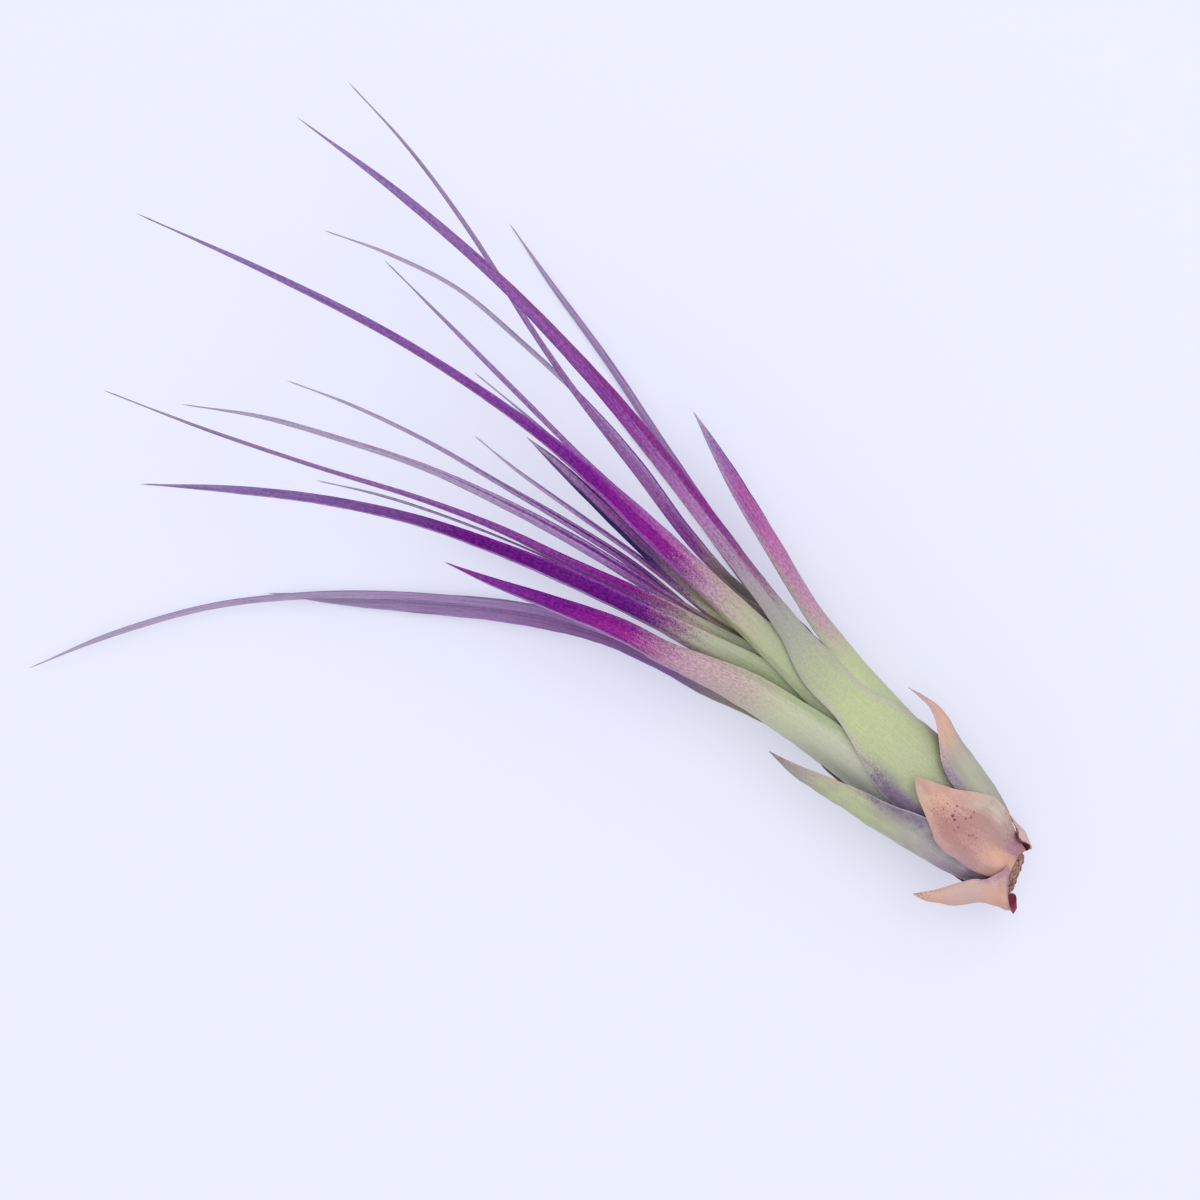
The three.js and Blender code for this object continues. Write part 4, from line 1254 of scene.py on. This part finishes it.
class PlantFinishes:
    """Makes the material of each piece from its finish."""

    WANDER = 6.0
    SPECKLE = 14.0
    FRAY = 0.35
    SPECULAR = 0.06
    SHEEN = 0.02
    SHEEN_ROUGHNESS = 0.6
    SHEEN_TINT = (0.9, 0.88, 0.96, 1.0)

    def __init__(self, groups: SharedGroups) -> None:
        """Keeps the shared groups."""
        self.groups = groups

    def start(self, name: str) -> tuple[bpy.types.Material, Sheet, bpy.types.Node]:
        """Starts a material.

        Args:
            name: The material's name.

        Returns:
            The material, its sheet and its Principled BSDF.
        """
        material = bpy.data.materials.new(name)
        material.use_nodes = True
        sheet = Sheet(material.node_tree)
        return material, sheet, material.node_tree.nodes["Principled BSDF"]

    def use(self, sheet: Sheet, tree: bpy.types.NodeTree, feeds: dict) -> bpy.types.NodeOutputs:
        """Places a shared group in a material and gives its outputs."""
        node = sheet.tree.nodes.new("ShaderNodeGroup")
        node.node_tree = tree
        for key, value in feeds.items():
            sheet.feed(node.inputs[key], value)
        return node.outputs

    def leaf(self, leaf: Leaf) -> bpy.types.Material:
        """Makes the material of a leaf or scale.

        Args:
            leaf: The leaf, with its finish and zones.

        Returns:
            The material.
        """
        finish = FINISHES[leaf.look]
        material, sheet, shader = self.start(leaf.name + "_finish")
        place = self.use(sheet, self.groups.place, {
            "Wander": self.WANDER / ALONG_SPAN, "Speckle": self.SPECKLE / ALONG_SPAN,
        })
        stations = (leaf.sheath[0][0], *leaf.zones, leaf.blade[-1][0])

        def strip(run: Run) -> bpy.types.NodeSocket:
            """Ramps one strip's tones along the leaf."""
            stops = [(x / ALONG_SPAN, tone) for x, tone in zip(stations, run.tones())]
            return sheet.ramp(place["Along"], stops)

        colour = self.use(sheet, self.groups.bands, {
            "Across": place["Across"], "Fibre": place["Fibre"], "Body": strip(finish.body),
            "Stripe": strip(finish.stripe), "Left": strip(finish.left), "Right": strip(finish.right),
            "Centre": finish.stripe_centre, "Half": finish.stripe_half, "Soft": finish.soft,
            "Left Width": finish.left_width, "Right Width": finish.right_width, "Fray": self.FRAY,
        })["Colour"]
        colour = self.use(sheet, self.groups.margin, {
            "Colour": colour, "Veil": linear(finish.veil_tone), "Rim": linear(Tone.CLOUD),
            "Across": place["Across"], "Along": place["Along"], "Reach": finish.veil_reach / ALONG_SPAN,
            "Amount": finish.veil, "Side": finish.veil_side, "Rim Amount": finish.rim,
        })["Colour"]
        colour = self.use(sheet, self.groups.blotches, {
            "Colour": colour, "Blotch": linear(finish.blotch_tone), "Spot": linear(Tone.WINE),
            "Blotches": finish.blotch, "Spots": finish.spots, "Across": place["Across"],
            "Along": place["Along"],
        })["Colour"]
        grained = self.use(sheet, self.groups.bloom, {
            "Colour": colour, "Bloom": linear(Tone.CLOUD), "Amount": finish.bloom, "Dither": finish.dither,
            "Fibre": place["Fibre"],
        })
        inside = sheet.add("ShaderNodeAttribute", attribute_name="inside").outputs["Fac"]
        inner = sheet.times(sheet.rise(inside, 0.5, 0.9), finish.inside_share)
        colour = sheet.mix(inner, grained["Colour"], linear(finish.inside))
        rough = sheet.plus(sheet.times(grained["Grain"], 0.16), finish.roughness - 0.08)
        normal = self.use(sheet, self.groups.relief, {
            "Fibre": place["Fibre"], "Ribs": finish.ribs, "Grain": grained["Grain"], "Coarse": 0.3,
        })["Normal"]
        sheet.feed(shader.inputs["Base Color"], colour)
        sheet.feed(shader.inputs["Roughness"], rough)
        sheet.feed(shader.inputs["Normal"], normal)
        shader.inputs["Specular IOR Level"].default_value = self.SPECULAR
        shader.inputs["Sheen Weight"].default_value = self.SHEEN
        shader.inputs["Sheen Roughness"].default_value = self.SHEEN_ROUGHNESS
        shader.inputs["Sheen Tint"].default_value = self.SHEEN_TINT
        return material

    def stem(self, finish: StemFinish) -> bpy.types.Material:
        """Makes the fibrous material of the cut stem, with wine-red flecks.

        Args:
            finish: The stem's colours.

        Returns:
            The material.
        """
        material, sheet, shader = self.start("stem_finish")
        place = sheet.add("ShaderNodeTexCoord").outputs["Object"]
        fibres = sheet.noise(sheet.stretch(place, finish.fibre_stretch), 1.0, 4.0, 0.65)
        lumps = sheet.noise(place, finish.lump_scale, 3.0, 0.6)
        colour = sheet.mix(sheet.rise(fibres, 0.36, 0.62), linear(finish.bark), linear(finish.straw))
        flecks = sheet.rise(lumps, 0.57, 0.66)
        colour = sheet.mix(flecks, colour, linear(finish.wine))
        bump = sheet.add("ShaderNodeBump", {"Strength": 0.9, "Distance": 0.0003, "Height": fibres})
        sheet.feed(shader.inputs["Base Color"], colour)
        sheet.feed(shader.inputs["Normal"], bump.outputs[0])
        shader.inputs["Roughness"].default_value = finish.roughness
        shader.inputs["Specular IOR Level"].default_value = 0.2
        return material


@dataclass
class Rosette:
    """The leaves, or the scales, that wrap the stem."""

    leaves: tuple[Leaf, ...]
    crease_depth: float
    ripple: float

    def build(self, finishes: PlantFinishes) -> list[bpy.types.Object]:
        """Makes every piece, dresses it and puts it in its node's place.

        Args:
            finishes: Where the materials come from.

        Returns:
            The pieces.
        """
        pieces = []
        for leaf in self.leaves:
            surface = LeafSurface(leaf, crease_depth=self.crease_depth, ripple=self.ripple)
            piece = surface.skin().build(leaf.name + "_surface")
            piece.data.materials.append(finishes.leaf(leaf))
            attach(piece, "root")
            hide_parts(leaf.name)
            pieces.append(piece)
        return pieces


@dataclass
class CutStem:
    """The short stem, cut slantwise, with its fibrous end."""

    rows: int = STEM_ROWS
    steps: int = STEM_STEPS_ROUND
    ridge: float = 0.09
    ragged: float = 0.28

    def skin(self) -> ClosedSkin:
        """Turns the stem's profile round its axis.

        The radius is the profile's, with ridges: a sum of sines round the stem that drift along it. The cut
        is a disc of rings that shrink to the middle, each pushed in or out by sines of the angle and radius.

        Returns:
            The stem's closed skin.
        """
        angle = np.linspace(0, 2 * pi, self.steps, endpoint=False)[None, :]
        last = STEM_PROFILE[-1][0]
        first = STEM_PROFILE[0][0]
        x = np.linspace(first, last, self.rows)[:, None]
        radius = level(STEM_PROFILE, x[:, 0])[:, None]
        ridges = np.sin(9 * angle + 0.3 * x) + 0.7 * np.sin(16 * angle - 0.2 * x + 1.1)
        wall = radius + self.ridge * ridges * np.minimum(1.0, radius / 2)
        share = np.linspace(0.06, 0.97, CUT_RINGS)[:, None]
        face = wall[:1] * share
        push = np.sin(5 * angle + 7 * share) + np.sin(11 * angle - 9 * share) * share
        face_x = first - self.ragged * 0.5 * push * share - 0.25 * (1 - share)
        radii = np.vstack([face, wall])
        places = np.vstack([face_x, np.repeat(x, self.steps, axis=1)])
        y = level(AXIS_SIDE, places) + radii * np.cos(angle)
        z = AXIS_HEIGHT + radii * np.sin(angle)
        rings = slanted(np.stack([places, y, z], axis=-1))
        tip = np.array([last + STEM_TIP, float(level(AXIS_SIDE, last)), AXIS_HEIGHT])
        count = rings.shape[0] * self.steps + 1
        flat = np.zeros((count, 2))
        flat[:-1, 1] = np.repeat(places[:, 0] / ALONG_SPAN, self.steps)
        return ClosedSkin(rings, tip, flat, flat, np.zeros(count))

    def build(self, finishes: PlantFinishes) -> bpy.types.Object:
        """Makes the stem, dresses it and puts it in its node's place.

        Args:
            finishes: Where the material comes from.

        Returns:
            The stem.
        """
        piece = self.skin().build("stem_surface")
        piece.data.materials.append(finishes.stem(StemFinish()))
        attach(piece, "root")
        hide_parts("stem")
        return piece


@dataclass(frozen=True)
class Studio:
    """The pale floor, the soft light and the camera straight above the plant."""

    floor_side: float = 8.0
    floor_drop: float = 0.0003
    floor_colour: tuple[float, float, float, float] = (0.435, 0.441, 0.525, 1.0)
    # Painted light: the floor's own glow, which lightens the shadows on it and the undersides of the leaves.
    floor_glow: tuple[float, float, float, float] = (0.86, 0.875, 1.0, 1.0)
    glow_strength: float = 0.45
    sky_colour: tuple[float, float, float, float] = (0.96, 0.97, 1.0, 1.0)
    sky_strength: float = 0.78
    lamp_power: float = 9.5
    lamp_size: float = 1.4
    lamp_place: tuple[float, float, float] = (-0.05, -0.4, 1.4)
    camera_turn: float = 222.0
    camera_lens: float = 200.0
    camera_sensor: float = 36.0

    def floor(self) -> None:
        """Lays the floor just under the plant. The floor also glows by itself, which is painted light: it
        lifts the plant's shadows on the floor.
        """
        half = self.floor_side / 2
        corners = [(-half, -half), (half, -half), (half, half), (-half, half)]
        mesh = bpy.data.meshes.new("floor")
        mesh.from_pydata([(x, y, -self.floor_drop) for x, y in corners], [], [(0, 1, 2, 3)])
        floor = bpy.data.objects.new("floor", mesh)
        bpy.context.scene.collection.objects.link(floor)
        material = bpy.data.materials.new("floor_finish")
        material.use_nodes = True
        shader = material.node_tree.nodes["Principled BSDF"]
        shader.inputs["Base Color"].default_value = self.floor_colour
        shader.inputs["Emission Color"].default_value = self.floor_glow
        shader.inputs["Emission Strength"].default_value = self.glow_strength
        shader.inputs["Roughness"].default_value = 0.95
        shader.inputs["Specular IOR Level"].default_value = 0.0
        mesh.materials.append(material)

    def light(self) -> None:
        """Lights the plant with an even sky and one wide lamp above it, a little to its right."""
        world = bpy.data.worlds.new("sky")
        world.use_nodes = True
        background = world.node_tree.nodes["Background"]
        background.inputs["Color"].default_value = self.sky_colour
        background.inputs["Strength"].default_value = self.sky_strength
        bpy.context.scene.world = world
        lamp_data = bpy.data.lights.new("wide_lamp", "AREA")
        lamp_data.energy = self.lamp_power
        lamp_data.size = self.lamp_size
        lamp = bpy.data.objects.new("wide_lamp", lamp_data)
        bpy.context.scene.collection.objects.link(lamp)
        lamp.location = self.lamp_place
        aim = -lamp.location
        lamp.rotation_euler = aim.to_track_quat("-Z", "Y").to_euler()

    def camera(self) -> None:
        """Puts the camera straight above the plan's centre, turned as the photograph is."""
        camera_data = bpy.data.cameras.new("camera")
        camera_data.lens = self.camera_lens
        camera_data.sensor_width = self.camera_sensor
        camera_data.clip_end = 50.0
        camera = bpy.data.objects.new("camera", camera_data)
        bpy.context.scene.collection.objects.link(camera)
        centre = np.array([*PLAN_CENTRE, AXIS_HEIGHT + PLAN_HEIGHT]) - ORIGIN
        camera.location = (centre * MM).tolist()
        camera.rotation_euler = (0.0, 0.0, radians(self.camera_turn))
        bpy.context.scene.camera = camera

    def build(self) -> None:
        """Makes the floor, the light and the camera."""
        self.floor()
        self.light()
        self.camera()
        bpy.context.scene.view_settings.view_transform = "Standard"


def main() -> None:
    """Builds the stage, then the stem, the scales and the leaves."""
    logging.basicConfig(level=logging.INFO, format="%(message)s")
    Studio().build()
    finishes = PlantFinishes(SharedGroups())
    pieces = [CutStem().build(finishes)]
    pieces += Rosette(SCALES, crease_depth=0.0, ripple=0.1).build(finishes)
    pieces += Rosette(LEAVES, crease_depth=0.1, ripple=0.04).build(finishes)
    for piece in pieces:
        LOG.info("%s: %d faces", piece.name, len(piece.data.polygons))


if __name__ == "__main__":
    main()
